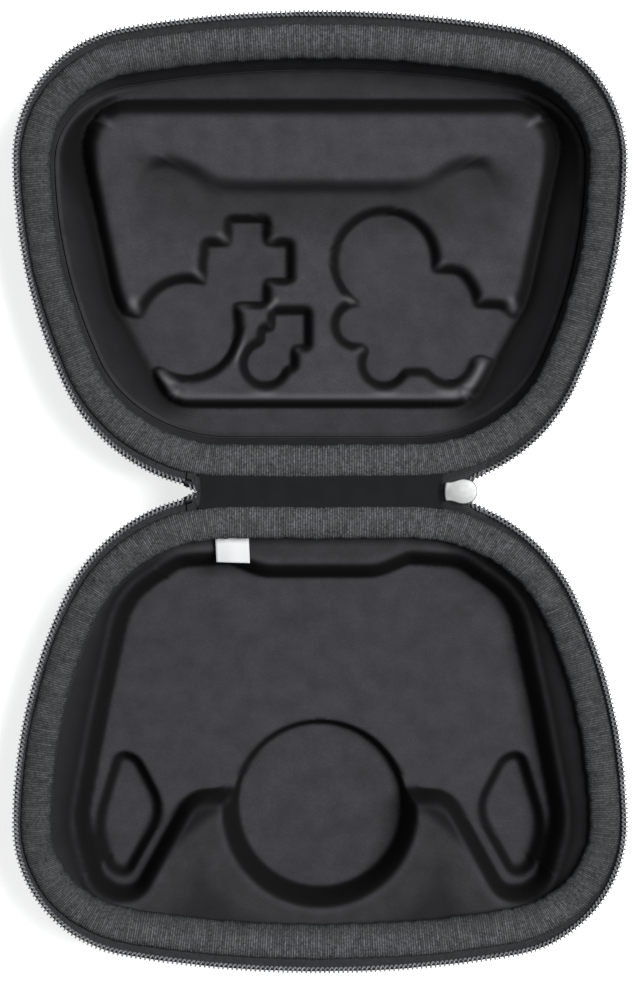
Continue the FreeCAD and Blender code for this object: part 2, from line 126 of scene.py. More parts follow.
def shaded(material, colour, finish, tones=None, relief=None):
    """The material, ended by a shader with this colour and finish and by its output.

    With two tones, in sRGB hex, the colour given is the share of the second. A relief is a
    height, with its strength and its depth in metres.
    """
    if tones:
        tone = add_node(material, "ShaderNodeMix", {
            "Factor": colour, "A": linear(tones[0]), "B": linear(tones[1])}, data_type="RGBA")
        colour = tone.outputs["Result"]
    finish = {"Base Color": colour, **finish}
    if relief:
        bump = add_node(material, "ShaderNodeBump",
                        dict(zip(("Height", "Strength", "Distance"), relief)))
        finish["Normal"] = bump.outputs["Normal"]
    shader = add_node(material, "ShaderNodeBsdfPrincipled", finish)
    add_node(material, "ShaderNodeOutputMaterial", {"Surface": shader.outputs["BSDF"]})
    return material


def opal_acrylic():
    """Opal acrylic of a light table: matt white with a faint mottle, and lit softly from below,
    so that shadows on it stay pale."""
    material, place = new_material("opal_acrylic")
    mottle = add_node(material, "ShaderNodeTexNoise",
                      {"Vector": place.outputs["Object"], "Scale": 14.0, "Detail": 3.0})
    tone = add_node(material, "ShaderNodeMix", {
        "Factor": mottle.outputs["Fac"], "A": linear("#f7f8f8"), "B": linear("#fbfbfb")},
        data_type="RGBA")
    return shaded(material, tone.outputs["Result"], {
        "Roughness": 0.9, "Specular IOR Level": 0.2, "Emission Color": tone.outputs["Result"],
        "Emission Strength": TABLE_GLOW})


room = bpy.data.worlds.new("room")
room.use_nodes = True
room.node_tree.nodes["Background"].inputs["Color"].default_value = (1.0, 1.0, 1.0, 1.0)
room.node_tree.nodes["Background"].inputs["Strength"].default_value = ROOM_STRENGTH
bpy.context.scene.world = room

softbox_data = bpy.data.lights.new("softbox", "AREA")
softbox_data.shape = "SQUARE"
softbox_data.size = SOFTBOX_SIZE
softbox_data.energy = SOFTBOX_POWER
softbox = new_object("softbox", softbox_data)
softbox.location = SOFTBOX_PLACE
softbox.rotation_euler = (-SOFTBOX_PLACE[1] / SOFTBOX_PLACE[2],
                          SOFTBOX_PLACE[0] / SOFTBOX_PLACE[2], 0.0)

floor_mesh = bpy.data.meshes.new("floor")
floor_mesh.from_pydata([(x * FLOOR_SIZE / 2.0, y * FLOOR_SIZE / 2.0, FLOOR_HEIGHT)
                        for x, y in ((-1, -1), (1, -1), (1, 1), (-1, 1))], [], [(0, 1, 2, 3)])
floor_mesh.materials.append(opal_acrylic())
floor = new_object("floor", floor_mesh)


# Shells
# Each half is a bowl of stiff foam board with woven nylon bonded outside, pressed hot in a
# mould. Its wall leans in by 8 degrees and turns into the flat bottom through a round edge.

HINGE_FLAT = 27.8 * MM
ARC_RADII = np.array([55.5, 168.0, 40.8]) * MM
ARC_TURNS = np.radians([65.5, 23.8, 80.9])
SHELL_TOP = RIM - 4.35 * MM
SHELL_INSET = 5.0 * MM
SHELL_BOARD = 2.6 * MM
WALL_LEAN = np.radians(8.0)
BOTTOM_ROUND = 15.0 * MM
SHELL_STEPS = 320
EDGE_STEPS = 12
CLIMB_STEPS = 6
SIDES = {"base": -1.0, "lid": 1.0}


def rim_breaks():
    """Distance, heading, x, y and bend at the start of each stretch of the rim's right half.

    A stretch of length l and bend k turns the heading by k*l and moves by the difference of
    (sin, -cos) of the heading over k. The first stretch is straight, as a huge circle.
    """
    huge = HINGE_FLAT * 1e6
    bends = 1.0 / np.append(huge, ARC_RADII)
    lengths = np.append(HINGE_FLAT, ARC_RADII * ARC_TURNS)
    rows = [(0.0, 0.0, 0.0, 0.0, bends[0])]
    for index in range(4):
        distance, heading, x, y, bend = rows[-1]
        after = heading + bend * lengths[index]
        x += (np.sin(after) - np.sin(heading)) / bend
        y += (np.cos(heading) - np.cos(after)) / bend
        following = bends[index + 1] if index < 3 else np.sin(np.pi - after) / x
        rows.append((distance + lengths[index], after, x, y, following))
    return np.array(rows)


BREAKS = rim_breaks()
HALF_RIM = BREAKS[-1, 0] + (np.pi - BREAKS[-1, 1]) / BREAKS[-1, 4]
RIM_LENGTH = 2.0 * HALF_RIM


def rim_point(distance, inset):
    """Plan place and heading on the rim, a distance from the hinge's middle, moved inwards.

    The right half follows the stretches. The left half is its mirror image, so a distance past
    the front's middle is folded back and x changes its sign.
    """
    distance = np.mod(distance, RIM_LENGTH)
    folded = np.minimum(distance, RIM_LENGTH - distance)
    stretch = np.searchsorted(BREAKS[:, 0], folded, "right") - 1
    start, heading, x, y, bend = np.moveaxis(BREAKS[stretch], -1, 0)
    now = heading + bend * (folded - start)
    x = x + (np.sin(now) - np.sin(heading)) / bend - inset * np.sin(now)
    y = y + (np.cos(heading) - np.cos(now)) / bend + inset * np.cos(now)
    mirrored = distance > HALF_RIM
    return np.where(mirrored, -x, x), y, np.where(mirrored, 2.0 * np.pi - now, now)


def along_rim(distance, inset, height, side):
    """Points at distances, insets and heights that broadcast together, for one half."""
    distance, inset, height = np.broadcast_arrays(distance, inset, height)
    x, y, _ = rim_point(distance, inset)
    return np.stack([x, side * y, height], axis=-1)


def grid_faces(rows, columns, closed_rows=False, closed_columns=False):
    """Quads of a grid, as vertex numbers and as numbers in a UV table one row and column larger."""
    row, column = np.meshgrid(np.arange(rows - (not closed_rows)),
                              np.arange(columns - (not closed_columns)), indexing="ij")
    corners = [(row, column), (row, column + 1), (row + 1, column + 1), (row + 1, column)]
    faces = np.stack([(r % rows) * columns + c % columns for r, c in corners], axis=-1)
    places = np.stack([r * (columns + 1) + c for r, c in corners], axis=-1)
    return faces.reshape(-1, 4), places.reshape(-1)


def finish_piece(name, points, faces, material, uv=None, closed=True):
    """Makes the mesh and its object at the origin, smooth, and for a closed form facing out."""
    mesh = bpy.data.meshes.new(name)
    mesh.from_pydata(points.reshape(-1, 3).tolist(), [], [list(face) for face in faces])
    if uv is not None:
        layer = mesh.uv_layers.new(name="cloth")
        layer.data.foreach_set("uv", np.asarray(uv, np.float32).ravel())
    if closed:
        work = bmesh.new()
        work.from_mesh(mesh)
        bmesh.ops.recalc_face_normals(work, faces=work.faces)
        work.to_mesh(mesh)
        work.free()
    mesh.polygons.foreach_set("use_smooth", np.ones(len(mesh.polygons), bool))
    mesh.materials.append(material)
    return new_object(name, mesh)


def grid_piece(name, points, material, uv, closed_rows=False, closed_columns=False, capped=False):
    """A grid of points as one piece. uv is (rows + 1, columns + 1, 2), in metres on the cloth.

    Where it is capped, one many-sided face closes each of the two open ends of the tube.
    """
    rows, columns, _ = points.shape
    faces, places = grid_faces(rows, columns, closed_rows, closed_columns)
    numbers = np.arange(rows * columns).reshape(rows, columns)
    ends = numbers[[0, -1]] if closed_columns else numbers[:, [0, -1]].T
    caps = ends if capped else ends[:0]
    flat = points.reshape(-1, 3)
    table = [uv.reshape(-1, 2)[places]] + [flat[cap, :2] for cap in caps]
    return finish_piece(name, flat, faces.tolist() + caps.tolist(), material,
                        np.concatenate(table), closed=capped or (closed_rows and closed_columns))


def cloth_uv(along, across):
    """UV table for a grid, from the metres along its columns and across its rows."""
    u, v = np.meshgrid(np.append(along, 2.0 * along[-1] - along[-2]),
                       np.append(across, 2.0 * across[-1] - across[-2]))
    return np.stack([u, v], axis=-1)


def path_length(first, second):
    """Running length of a path given by two coordinates, from zero."""
    steps = np.hypot(np.diff(first), np.diff(second))
    return np.append(0.0, np.cumsum(steps))


def bands_apart(pitch):
    """Mapping scale for a wave texture of scale 2, which has a band every 0.157 of its space."""
    return (0.159 / pitch, 0.159 / pitch, 1.0)


def woven_nylon():
    """Ballistic nylon on foam board: plain weave of black filament yarn, with a dull glint.

    The yarns are 0.5 mm apart. One wave runs with each set, and a checker lets them take turns.
    """
    yarn = 0.5 * MM
    material, place = new_material("woven_nylon_on_foam_board")
    cloth = add_node(material, "ShaderNodeMapping",
                     {"Vector": place.outputs["UV"], "Scale": (0.5 / yarn, 0.5 / yarn, 1.0)})
    checks = add_node(material, "ShaderNodeTexChecker",
                      {"Vector": cloth.outputs["Vector"], "Scale": 2.0,
                       "Color1": (1.0, 1.0, 1.0, 1.0), "Color2": (0.0, 0.0, 0.0, 1.0)})
    waves = [add_node(material, "ShaderNodeTexWave",
                      {"Vector": cloth.outputs["Vector"], "Scale": 0.636},
                      bands_direction=axis) for axis in ("X", "Y")]
    yarns = add_node(material, "ShaderNodeMix", {
        "Factor": checks.outputs["Fac"], "A": waves[0].outputs["Fac"],
        "B": waves[1].outputs["Fac"]}, data_type="FLOAT")
    slub = add_node(material, "ShaderNodeTexNoise",
                    {"Vector": place.outputs["Object"], "Scale": 260.0, "Detail": 4.0})
    return shaded(material, slub.outputs["Fac"],
                  {"Roughness": 0.62, "IOR": 1.53, "Specular IOR Level": 0.35},
                  tones=("#151617", "#26272a"),
                  relief=(yarns.outputs["Result"], 0.8, 0.12 * MM))


def wall_inset(height):
    """Inset of the shell's outer face: it grows with the drop below the top by the wall's lean."""
    return SHELL_INSET + (SHELL_TOP - height) * np.tan(WALL_LEAN)


def shell_section():
    """Inset and height from the outer bottom, up the wall, over the top and down the inside.

    The outer round edge is a circle that touches the floor and the leaning wall. The inside is
    the same curve moved by the board's thickness.
    """
    sweep = np.pi / 2.0 - WALL_LEAN
    centre = wall_inset(0.0) + BOTTOM_ROUND * np.tan(sweep / 2.0)
    angle = WALL_LEAN + sweep * np.linspace(1.0, 0.0, EDGE_STEPS)
    edge = np.stack([centre - BOTTOM_ROUND * np.cos(angle),
                     BOTTOM_ROUND * (1.0 - np.sin(angle))])
    climb = np.linspace(edge[1, -1], SHELL_TOP, CLIMB_STEPS + 1)[1:]
    wall = np.stack([wall_inset(climb), climb])
    inner = BOTTOM_ROUND - SHELL_BOARD
    inner_edge = np.stack([centre - inner * np.cos(angle), BOTTOM_ROUND - inner * np.sin(angle)])
    inner_wall = wall + np.array([[SHELL_BOARD / np.cos(WALL_LEAN)], [0.0]])
    return np.concatenate([edge, wall, inner_wall[:, ::-1], inner_edge[:, ::-1]], axis=1)


nylon = woven_nylon()
section = shell_section()
shell_steps = np.linspace(0.0, RIM_LENGTH, SHELL_STEPS, endpoint=False)
shell_uv = cloth_uv(shell_steps, path_length(*section))
for half, side in SIDES.items():
    shell_points = along_rim(shell_steps, section[0][:, None], section[1][:, None], side)
    shell = grid_piece(half + "_shell_cloth", shell_points, nylon, shell_uv,
                       closed_columns=True, capped=True)
    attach(shell, half)
    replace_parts(shell, half + "_shell")


# Liners
# Each half holds a moulded foam insert faced with brushed knit. The knit is stretched over
# the mould, so outer edges are soft rolls and the feet of the steps are tight creases.

WALL_THICKNESS = 4.2 * MM
LINER_TOP = SHELL_TOP - 0.4 * MM
LID_FLOOR = RIM - 24.0 * MM
LINER_CELLS = 296
WALL_RINGS = 24
WALL_ROWS = 12
# Share of painted shade on the insert's walls.
WALL_PAINTED_SHADE = 0.4
REAR_SETTLING = 4.6 * MM
FRONT_SETTLING = 4.0 * MM
LINER_EDGE = 0.9 * MM
CORNER_POINTS = 6
RIDGE_WAYS = ((6, 0), (0, 6), (4, 4), (4, -4))
LINER_WAIST = (4.0 * MM, 14.0 * MM)
LINER_FOOT = (9.0 * MM, 6.0 * MM)
LINER_CENTRE = 72.0 * MM
CORNER_REAR = HINGE_FLAT + 0.55 * ARC_RADII[0] * ARC_TURNS[0]
CORNER_FRONT = BREAKS[3, 0] + 0.5 * ARC_RADII[2] * ARC_TURNS[2]


def liner_wall(floor_height):
    """Inset and height of the insert's border, and the share of the wall's full settling.

    The wall follows the shell down to a crease 0.8 mm under the floor. The insert's edge climbs
    out of it in a straight line, under a bell-shaped bead of 0.5 mm.
    """
    drop = np.linspace(LINER_TOP, floor_height + 0.8 * MM, WALL_ROWS)
    turn = np.linspace(0.0, 1.0, WALL_RINGS - WALL_ROWS)
    bead = np.exp(-((turn - 0.28) / 0.12) ** 2)
    edge = (0.8 * np.minimum(turn * 4.0, 1.0) - 0.8 + 0.5 * bead) * MM
    inset = np.append(wall_inset(drop) + WALL_THICKNESS + 0.15 * MM,
                      wall_inset(drop[-1]) + WALL_THICKNESS + (0.35 + 1.9 * turn) * MM)
    height = np.append(drop, floor_height + edge)
    settled = np.minimum((LINER_TOP - height) / (LINER_TOP - LID_FLOOR), 1.0)
    settled[WALL_ROWS:] = settled[WALL_ROWS - 1]
    return inset, height, settled


def liner_plan(border):
    """Places on a square grid that is bent to the rim's outline.

    The outer rings of the grid follow the rim at the border's insets, and lie further in beside
    the hinge and at the front, where the lining settles. Inside them each ring is a smaller
    copy of the last. Every grid side takes the stretch of the rim between two corners. Also
    gives each place's ring, its share of the rise at the flanks and its way to the border.
    """
    middle = LINER_CELLS / 2.0
    i, j = np.meshgrid(np.arange(LINER_CELLS + 1), np.arange(LINER_CELLS + 1), indexing="ij")
    a, b = i - middle, j - middle
    reach = np.maximum(np.abs(a), np.abs(b))
    safe = np.maximum(reach, 1e-9)
    corners = [-CORNER_REAR, CORNER_REAR, CORNER_FRONT, RIM_LENGTH - CORNER_FRONT,
               RIM_LENGTH - CORNER_REAR]
    chosen = [b <= -reach, a >= reach, b >= reach, a <= -reach]
    shares = [a / safe, b / safe, -a / safe, -b / safe]
    distance = np.select(chosen, [start + (end - start) * (share + 1.0) / 2.0
                                  for start, end, share in zip(corners, corners[1:], shares)])
    ring = np.minimum(np.rint(middle - reach).astype(int), WALL_RINGS - 1)
    _, _, heading = rim_point(distance, 0.0)
    facing = np.cos(heading)
    settling = np.where(facing > 0.0, REAR_SETTLING, FRONT_SETTLING) * facing ** 2
    x, y, _ = rim_point(distance, border[0][ring] + settling * border[2][ring])
    shrink = np.minimum(reach / (middle - WALL_RINGS + 1), 1.0)
    way = (1.0 - shrink) * np.hypot(x, y - LINER_CENTRE)
    flank = np.sin(heading) ** 2 * border[2][ring] / border[2][-1]
    return x * shrink, LINER_CENTRE + (y - LINER_CENTRE) * shrink, ring, flank, way


def unit(vectors):
    """Vectors along the last axis, each divided by its length."""
    return vectors / np.linalg.norm(vectors, axis=-1, keepdims=True)


def rounded_outline(corners):
    """Closed outline in metres, with each corner (x, y, radius in mm) turned by an arc.

    The arc's centre is on the corner's bisector, radius / sin(half angle) from the corner. Its
    points run from one side's touching point to the other's, at the radius from the centre.
    """
    points = []
    for index, (x, y, radius) in enumerate(corners):
        corner = np.array([x, y])
        back = unit(np.array(corners[index - 1][:2]) - corner)
        ahead = unit(np.array(corners[(index + 1) % len(corners)][:2]) - corner)
        half = np.arccos(back @ ahead) / 2.0
        centre = corner + unit(back + ahead) * radius / np.sin(half)
        first, last = (corner + leg * radius / np.tan(half) - centre for leg in (back, ahead))
        for share in np.linspace(0.0, 1.0, CORNER_POINTS):
            points.append(centre + unit(first * (1.0 - share) + last * share) * radius)
    return np.array(points) * MM


def polygon_distance(x, y, points):
    """Distance to a polygon's nearest edge, negative inside it by an even-odd count of edges."""
    nearest = np.full(x.shape, np.inf)
    inside = np.zeros(x.shape, bool)
    for (ax, ay), (bx, by) in zip(points, np.roll(points, -1, axis=0)):
        share = ((x - ax) * (bx - ax) + (y - ay) * (by - ay)) / ((bx - ax) ** 2 + (by - ay) ** 2)
        share = np.clip(share, 0.0, 1.0)
        nearest = np.minimum(nearest, np.hypot(x - ax - share * (bx - ax),
                                               y - ay - share * (by - ay)))
        if ay != by:
            crossed = (ay > y) != (by > y)
            inside ^= crossed & (x < ax + (y - ay) * (bx - ax) / (by - ay))
    return np.where(inside, -nearest, nearest)


def round_distance(x, y, centre, radius):
    """Distance to a circle, negative inside it."""
    return np.hypot(x - centre[0] * MM, y - centre[1] * MM) - radius * MM


def roll_over(distance, width):
    """Height share of a rolled edge: 1 - (1 - s)^2.6, with a small fillet at its foot."""
    share = np.clip(distance / (width * MM), 0.0, 1.0)
    share = share * share / (share + 0.08) * 1.08
    return 1.0 - (1.0 - share) ** 2.6


def ease(share):
    """Smooth step 3s^2 - 2s^3 between 0 and 1."""
    share = np.clip(share, 0.0, 1.0)
    return share * share * (3.0 - 2.0 * share)


def both_sides(half):
    """Outline of a form that is the same left and right, from the corners of its right half."""
    return rounded_outline(half + [(-x, y, radius) for x, y, radius in reversed(half)])


def rectangle(x_low, x_high, y_low, y_high):
    """Corners of a rectangle, in metres."""
    return np.array([(x_low, y_low), (x_high, y_low), (x_high, y_high), (x_low, y_high)]) * MM


def brushed_knit():
    """Brushed polyester knit: short dull nap that hides the loops.

    The nap lies in patches of a few millimetres, over fibres drawn at 0.5 mm. Shade is painted in,
    towards near black, where the mesh's painted shade share is high, as down steep steps. A
    lighter painted highlight goes where its painted light share is high, as on narrow ridges.
    """
    material, place = new_material("brushed_knit_charcoal")
    painted_shade = add_node(material, "ShaderNodeAttribute", attribute_name="parted_nap")
    painted_light = add_node(material, "ShaderNodeAttribute", attribute_name="fanned_nap")
    fibre = add_node(material, "ShaderNodeTexNoise", {
        "Vector": place.outputs["Object"], "Scale": 1.0 / (0.55 * MM), "Detail": 5.0,
        "Roughness": 0.7})
    patch = add_node(material, "ShaderNodeTexNoise", {
        "Vector": place.outputs["Object"], "Scale": 1.0 / (7.0 * MM), "Detail": 4.0,
        "Roughness": 0.6})
    blend = add_node(material, "ShaderNodeMath", {
        0: fibre.outputs["Fac"], 1: patch.outputs["Fac"]}, operation="MULTIPLY")
    spread = add_node(material, "ShaderNodeMapRange", {
        "Value": blend.outputs["Value"], "From Min": 0.12, "From Max": 0.42})
    nap = add_node(material, "ShaderNodeMix", {
        "Factor": spread.outputs["Result"], "A": linear("#343437"), "B": linear("#434347")},
        data_type="RGBA")
    # Painted highlight: a lighter tone where the mesh asks for painted light.
    highlighted_nap = add_node(material, "ShaderNodeMix", {
        "Factor": painted_light.outputs["Fac"], "A": nap.outputs["Result"], "B": linear("#646467")},
        data_type="RGBA")
    # Painted shade: a near-black tone where the mesh asks for painted shade.
    tone = add_node(material, "ShaderNodeMix", {
        "Factor": painted_shade.outputs["Fac"], "A": highlighted_nap.outputs["Result"],
        "B": linear("#131314")}, data_type="RGBA")
    return shaded(material, tone.outputs["Result"],
                  {"Roughness": 0.93, "IOR": 1.5, "Specular IOR Level": 0.12},
                  relief=(fibre.outputs["Fac"], 0.5, 0.12 * MM))


def evened(field):
    """Field with each value averaged twice with its four neighbours."""
    for _ in range(2):
        field = (2.0 * field + np.roll(field, 1, 0) + np.roll(field, -1, 0)
                 + np.roll(field, 1, 1) + np.roll(field, -1, 1)) / 6.0
    return field


def nap_on(x, y, height, painted_relief_shade, painted_relief_light, ridge):
    """Shares of painted shade and of painted light on a height grid.

    Shade is painted by the slope, 1 - nz over 0.42, or by the relief's own painted shade where that
    is more. Light is painted where the relief gives it and on ridges, and it thins the shade. A
    ridge stands, along one of four ways across the grid, more than the ridge's millimetres above
    both places about 3 mm away.
    """
    fi, fj = np.gradient(height)
    xi, xj = np.gradient(x)
    yi, yj = np.gradient(y)
    steep = np.hypot(fi * yj - fj * yi, fj * xi - fi * xj) / np.abs(xi * yj - xj * yi)
    painted_shade = np.maximum(ease((1.0 - 1.0 / np.hypot(1.0, steep)) / 0.42), painted_relief_shade)
    mean = evened(evened(height))
    lower = np.min([np.maximum(np.roll(mean, (i, j), (0, 1)), np.roll(mean, (-i, -j), (0, 1)))
                    for i, j in RIDGE_WAYS], axis=0)
    painted_light = np.maximum(ease((height - lower - ridge * MM) / (1.8 * MM)), painted_relief_light)
    painted_light = evened(evened(painted_light))
    return evened(painted_shade * (1.0 - 0.7 * painted_light)), painted_light


def point_values(piece, name, values):
    """Keeps a value for each vertex in the mesh, where the piece's material reads it."""
    attribute = piece.data.attributes.new(name, "FLOAT", "POINT")
    attribute.data.foreach_set("value", values.astype(np.float32).ravel())


def liner_piece(name, side, border, relief, rise, ridge, material):
    """Closed insert: the bent grid with its relief on top, a leaning back and a flat underside.

    Beside both flanks the channel climbs from the relief's foot to the border by rise, with the
    share 0.7 of the way as a power. Shade is painted on it, darkest at the foot. The walls take an
    even painted shade and the underside full shade.
    """
    x, y, ring, flank, way = liner_plan(border)
    height, foot_way, painted_relief_shade, painted_relief_light = relief(x, y)
    height = np.where(ring < WALL_RINGS - 1, border[1][ring], evened(height))
    outside = np.maximum(foot_way, 0.0)
    share = outside / (outside + way + 1e-6)
    height = height + rise * MM * flank * share ** 0.7
    top = np.stack([x, side * y, height], axis=-1)
    count = LINER_CELLS + 1
    numbers = np.arange(count * count).reshape(count, count)
    loop = np.concatenate([numbers[:-1, 0], numbers[-1, :-1], numbers[:0:-1, -1], numbers[0, :0:-1]])
    edge = top.reshape(-1, 3)[loop]
    centre = np.array([0.0, side * LINER_CENTRE, 0.0])
    flat = (edge - centre) * np.array([1.0, 1.0, 0.0])
    size = np.linalg.norm(flat, axis=1)[:, None]
    back = edge + flat / size * LINER_EDGE
    waist, foot = (centre + flat * (1.0 - inset / size) + np.array([0.0, 0.0, level])
                   for inset, level in (LINER_WAIST, LINER_FOOT))
    rings = [loop] + [count * count + k * len(loop) + np.arange(len(loop)) for k in range(3)]
    faces, _ = grid_faces(count, count)
    skirt = [np.stack([upper, np.roll(upper, -1), np.roll(lower, -1), lower], axis=1)
             for upper, lower in zip(rings[:-1], rings[1:])]
    points = np.concatenate([top.reshape(-1, 3), back, waist, foot])
    every = np.concatenate([faces] + skirt).tolist() + [rings[-1].tolist()]
    piece = finish_piece(name, points, every, material)
    # Painted shade down the flanks' channels, darkest at the block's foot.
    painted_foot_shade = ease(flank * 3.0) * ease(1.0 + foot_way / (2.4 * MM)) * (0.97 - 0.26 * share)
    painted_shade, painted_light = nap_on(x, y, height, np.maximum(painted_relief_shade, painted_foot_shade), painted_relief_light, ridge)
    # The walls carry an even painted shade and no painted light; the underside is fully shaded.
    wall = ring < WALL_RINGS - 2
    beneath = np.zeros(3 * len(loop))
    point_values(piece, "parted_nap", np.append(np.where(wall, WALL_PAINTED_SHADE, painted_shade), beneath + 1.0))
    point_values(piece, "fanned_nap", np.append(np.where(wall, 0.0, painted_light), beneath))
    return piece


# Lid insert: a raised block with a crown, and run-together hollows of rounds and a cross

LID_FLANK_RISE = 11.0
LID_RIDGE = 0.7
BLOCK_RISE = 7.8
CROWN_RISE = 4.2
HOLLOW_RISE = 1.6
BLOCK = both_sides([(46.5, 25.8, 10.0), (64.0, 59.0, 30.0), (77.2, 121.0, 14.5)])
CROWN_STEP_Y = 92.9 * MM
CROWN_LOBE = ((47.2, 87.2), 13.0)
STEP_ROUNDING = 3.0 * MM
HOLLOW_ROUNDING = 0.7 * MM
HINGE_LIP_Y = 45.0 * MM
HOLLOW_ROUNDS = [((-40.5, 50.0), 14.1), ((-16.7, 39.3), 5.5), ((20.0, 70.7), 14.3),
                 ((11.4, 51.2), 5.5), ((40.5, 58.5), 6.3), ((54.0, 47.9), 6.8),
                 ((39.6, 40.5), 6.2), ((19.7, 39.3), 5.5)]
HOLLOW_FIELDS = [
    rectangle(-34.2, -10.2, 65.8, 75.2),
    rectangle(-26.9, -17.5, 58.5, 82.5),
    rectangle(-34.2, -26.9, 50.0, 70.5),
    rectangle(-13.6, -4.8, 45.3, 54.3),
    rectangle(-16.7, -9.0, 39.0, 49.0),
    rounded_outline([(11.0, 49.0, 3.0), (20.0, 38.0, 3.0), (40.0, 38.0, 3.0), (54.0, 45.0, 3.0),
                     (43.0, 60.0, 3.0), (22.0, 66.0, 3.0)]),
    rounded_outline([(33.0, 67.2, 0.5), (43.5, 66.6, 4.0), (46.8, 56.4, 1.5), (57.0, 55.9, 3.0),
                     (58.0, 47.0, 1.0), (33.0, 50.0, 1.0)]),
    rounded_outline([(-42.0, 50.0, 1.0), (-60.5, 54.0, 1.0), (-64.0, 44.0, 1.0),
                     (-54.5, 33.5, 1.0)]),
]


def lid_relief(x, y):
    """Height of the lid insert, distance from the block's foot, and shares of painted shade and
    painted light.

    The block and its crown rise over rolled edges. The crown ends in a soft step with a lobe at
    each side, 7 mm wide and up to 29 mm towards the block's flanks, beyond 50 mm from the middle.
    The hollows cut down to a low floor, which fades out to the channel over 9 mm.
    Forms meet in a fillet: -r * log(sum of exp(-d / r)) of their distances d, for a rounding r.
    Shade is painted below the crown's step, on the step, in the channel round the block, darker
    towards the front and the flanks, and, less, on the hollows' floor. Light is painted on the
    block's lip beside the hinge.
    """
    block = -polygon_distance(x, y, BLOCK)
    lobe = round_distance(np.abs(x), y, *CROWN_LOBE)
    step = -STEP_ROUNDING * np.logaddexp((CROWN_STEP_Y - y) / STEP_ROUNDING, -lobe / STEP_ROUNDING)
    outer = ease((np.abs(x) - 50.0 * MM) / (11.0 * MM))
    crown = ease(0.5 + step / ((7.0 + 22.0 * outer) * MM))
    near_hinge = y < HINGE_LIP_Y
    lip = ease(1.0 - block / (6.0 * MM)) * near_hinge
    hollowed = (1.0 - crown) * ease(1.0 + step / (14.0 * MM)) * (1.0 - outer)
    width = 3.6 + 2.4 * ease((y - 28.0 * MM) / (30.0 * MM)) + 3.0 * ease((y - 95.0 * MM) / (15.0 * MM))
    full = (BLOCK_RISE + CROWN_RISE * crown + 0.8 * lip - hollowed) * roll_over(block, width)
    hollows = [round_distance(x, y, centre, radius) for centre, radius in HOLLOW_ROUNDS]
    hollows += [polygon_distance(x, y, points) for points in HOLLOW_FIELDS]
    hollow = -HOLLOW_ROUNDING * np.logaddexp.reduce(-np.array(hollows) / HOLLOW_ROUNDING)
    floor_rise = HOLLOW_RISE * ease((block + 4.0 * MM) / (9.0 * MM))
    kept = roll_over(hollow, 4.2)
    groove = 0.5 * ease(1.0 + block / (2.6 * MM)) * (block < 0.0) * (hollow > 0.0)
    height = LID_FLOOR + (floor_rise + np.maximum(full - floor_rise, 0.0) * kept - groove) * MM
    # Painted shade: under the crown's step, on the step, in the channel round the block and on the
    # hollows' floor.
    below = (1.0 - crown) * ease(1.0 + step / (26.0 * MM)) * (1.0 - outer) * (block > 0.0)
    channel = (0.22 + 0.2 * ease(y / (60.0 * MM) - 1.0)
               + 0.3 * ease((np.abs(x) - 50.0 * MM) / (20.0 * MM))) * ease(0.5 - block / (3.0 * MM))
    painted_relief_shade = np.max([0.5 * below + 0.5 * crown * (1.0 - crown), 0.12 * (1.0 - kept), channel], axis=0)
    # Painted highlight on the block's lip beside the hinge.
    painted_relief_light = 0.55 * ease(1.0 - np.abs(block - 2.9 * MM) / (1.7 * MM)) * near_hinge * kept
    return height, -block, painted_relief_shade, painted_relief_light


knit = brushed_knit()
lid_insert = liner_piece("lid_insert_knit", SIDES["lid"],
                         liner_wall(LID_FLOOR), lid_relief, LID_FLANK_RISE, LID_RIDGE, knit)
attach(lid_insert, "lid")
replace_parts(lid_insert, "lid_liner")


# Base insert: a nest with two deep grip pockets and a round well

BASE_FLANK_RISE = 3.5
BASE_RIDGE = 6.0
DECK = RIM - 10.0 * MM
NEST_DROP = 14.0
GRIP_DROP = 20.5
WELL_DROP = 21.0
EDGE_REACH = 4.6 * MM
EDGE_ROLL = 5.6
WELL = ((0.0, 97.0), 30.0)
NEST = both_sides([(17.0, 21.8, 14.0), (27.0, 17.6, 8.0), (44.0, 18.6, 14.0), (62.0, 31.0, 24.0),
                   (69.6, 66.0, 60.0), (76.2, 101.0, 28.0), (69.4, 125.8, 12.0),
                   (54.0, 125.8, 9.0), (37.5, 96.0, 6.0)])
GRIP = rounded_outline([(65.0, 76.0, 6.5), (73.2, 103.0, 24.0), (67.4, 121.5, 9.0),
                        (56.6, 121.5, 7.0), (43.5, 98.0, 16.0), (54.0, 78.0, 10.0)])


def base_relief(x, y):
    """Height of the base insert, distance from the hollows' edge, and shares as on the lid.

    The nest, the grip pockets and the well are taken out of the level deck. Shade is painted on
    the deck, darker away from the hollows' edge, and less on the floors. No light is painted.
    """
    nest = -polygon_distance(x, y, NEST)
    grip = -polygon_distance(np.abs(x), y, GRIP)
    well = -round_distance(x, y, *WELL)
    drops = [drop * (1.0 - roll_over(EDGE_REACH - way, EDGE_ROLL))
             for drop, way in ((NEST_DROP, nest), (WELL_DROP, well))]
    drops.append(GRIP_DROP * ease((grip + 2.5 * MM) / (9.0 * MM)))
    height = DECK - np.max(drops, axis=0) * MM
    beside = -np.maximum(nest, well)
    # Painted shade on the deck and, less, on the floors.
    painted_relief_shade = 0.16 + 0.26 * ease(beside / (3.0 * MM)) + 0.3 * ease(beside / (9.0 * MM) - 0.6)
    return height, beside - 1.0 * MM, painted_relief_shade, np.zeros_like(x)


base_insert = liner_piece("base_insert_knit", SIDES["base"],
                          liner_wall(DECK), base_relief, BASE_FLANK_RISE, BASE_RIDGE, knit)
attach(base_insert, "base")
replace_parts(base_insert, "base_liner")


# Zipper tapes
# Woven polyester tape with a fine twill, caught between shell and binding. It leaves the seam
# outwards and climbs a little to the coil on its free edge.

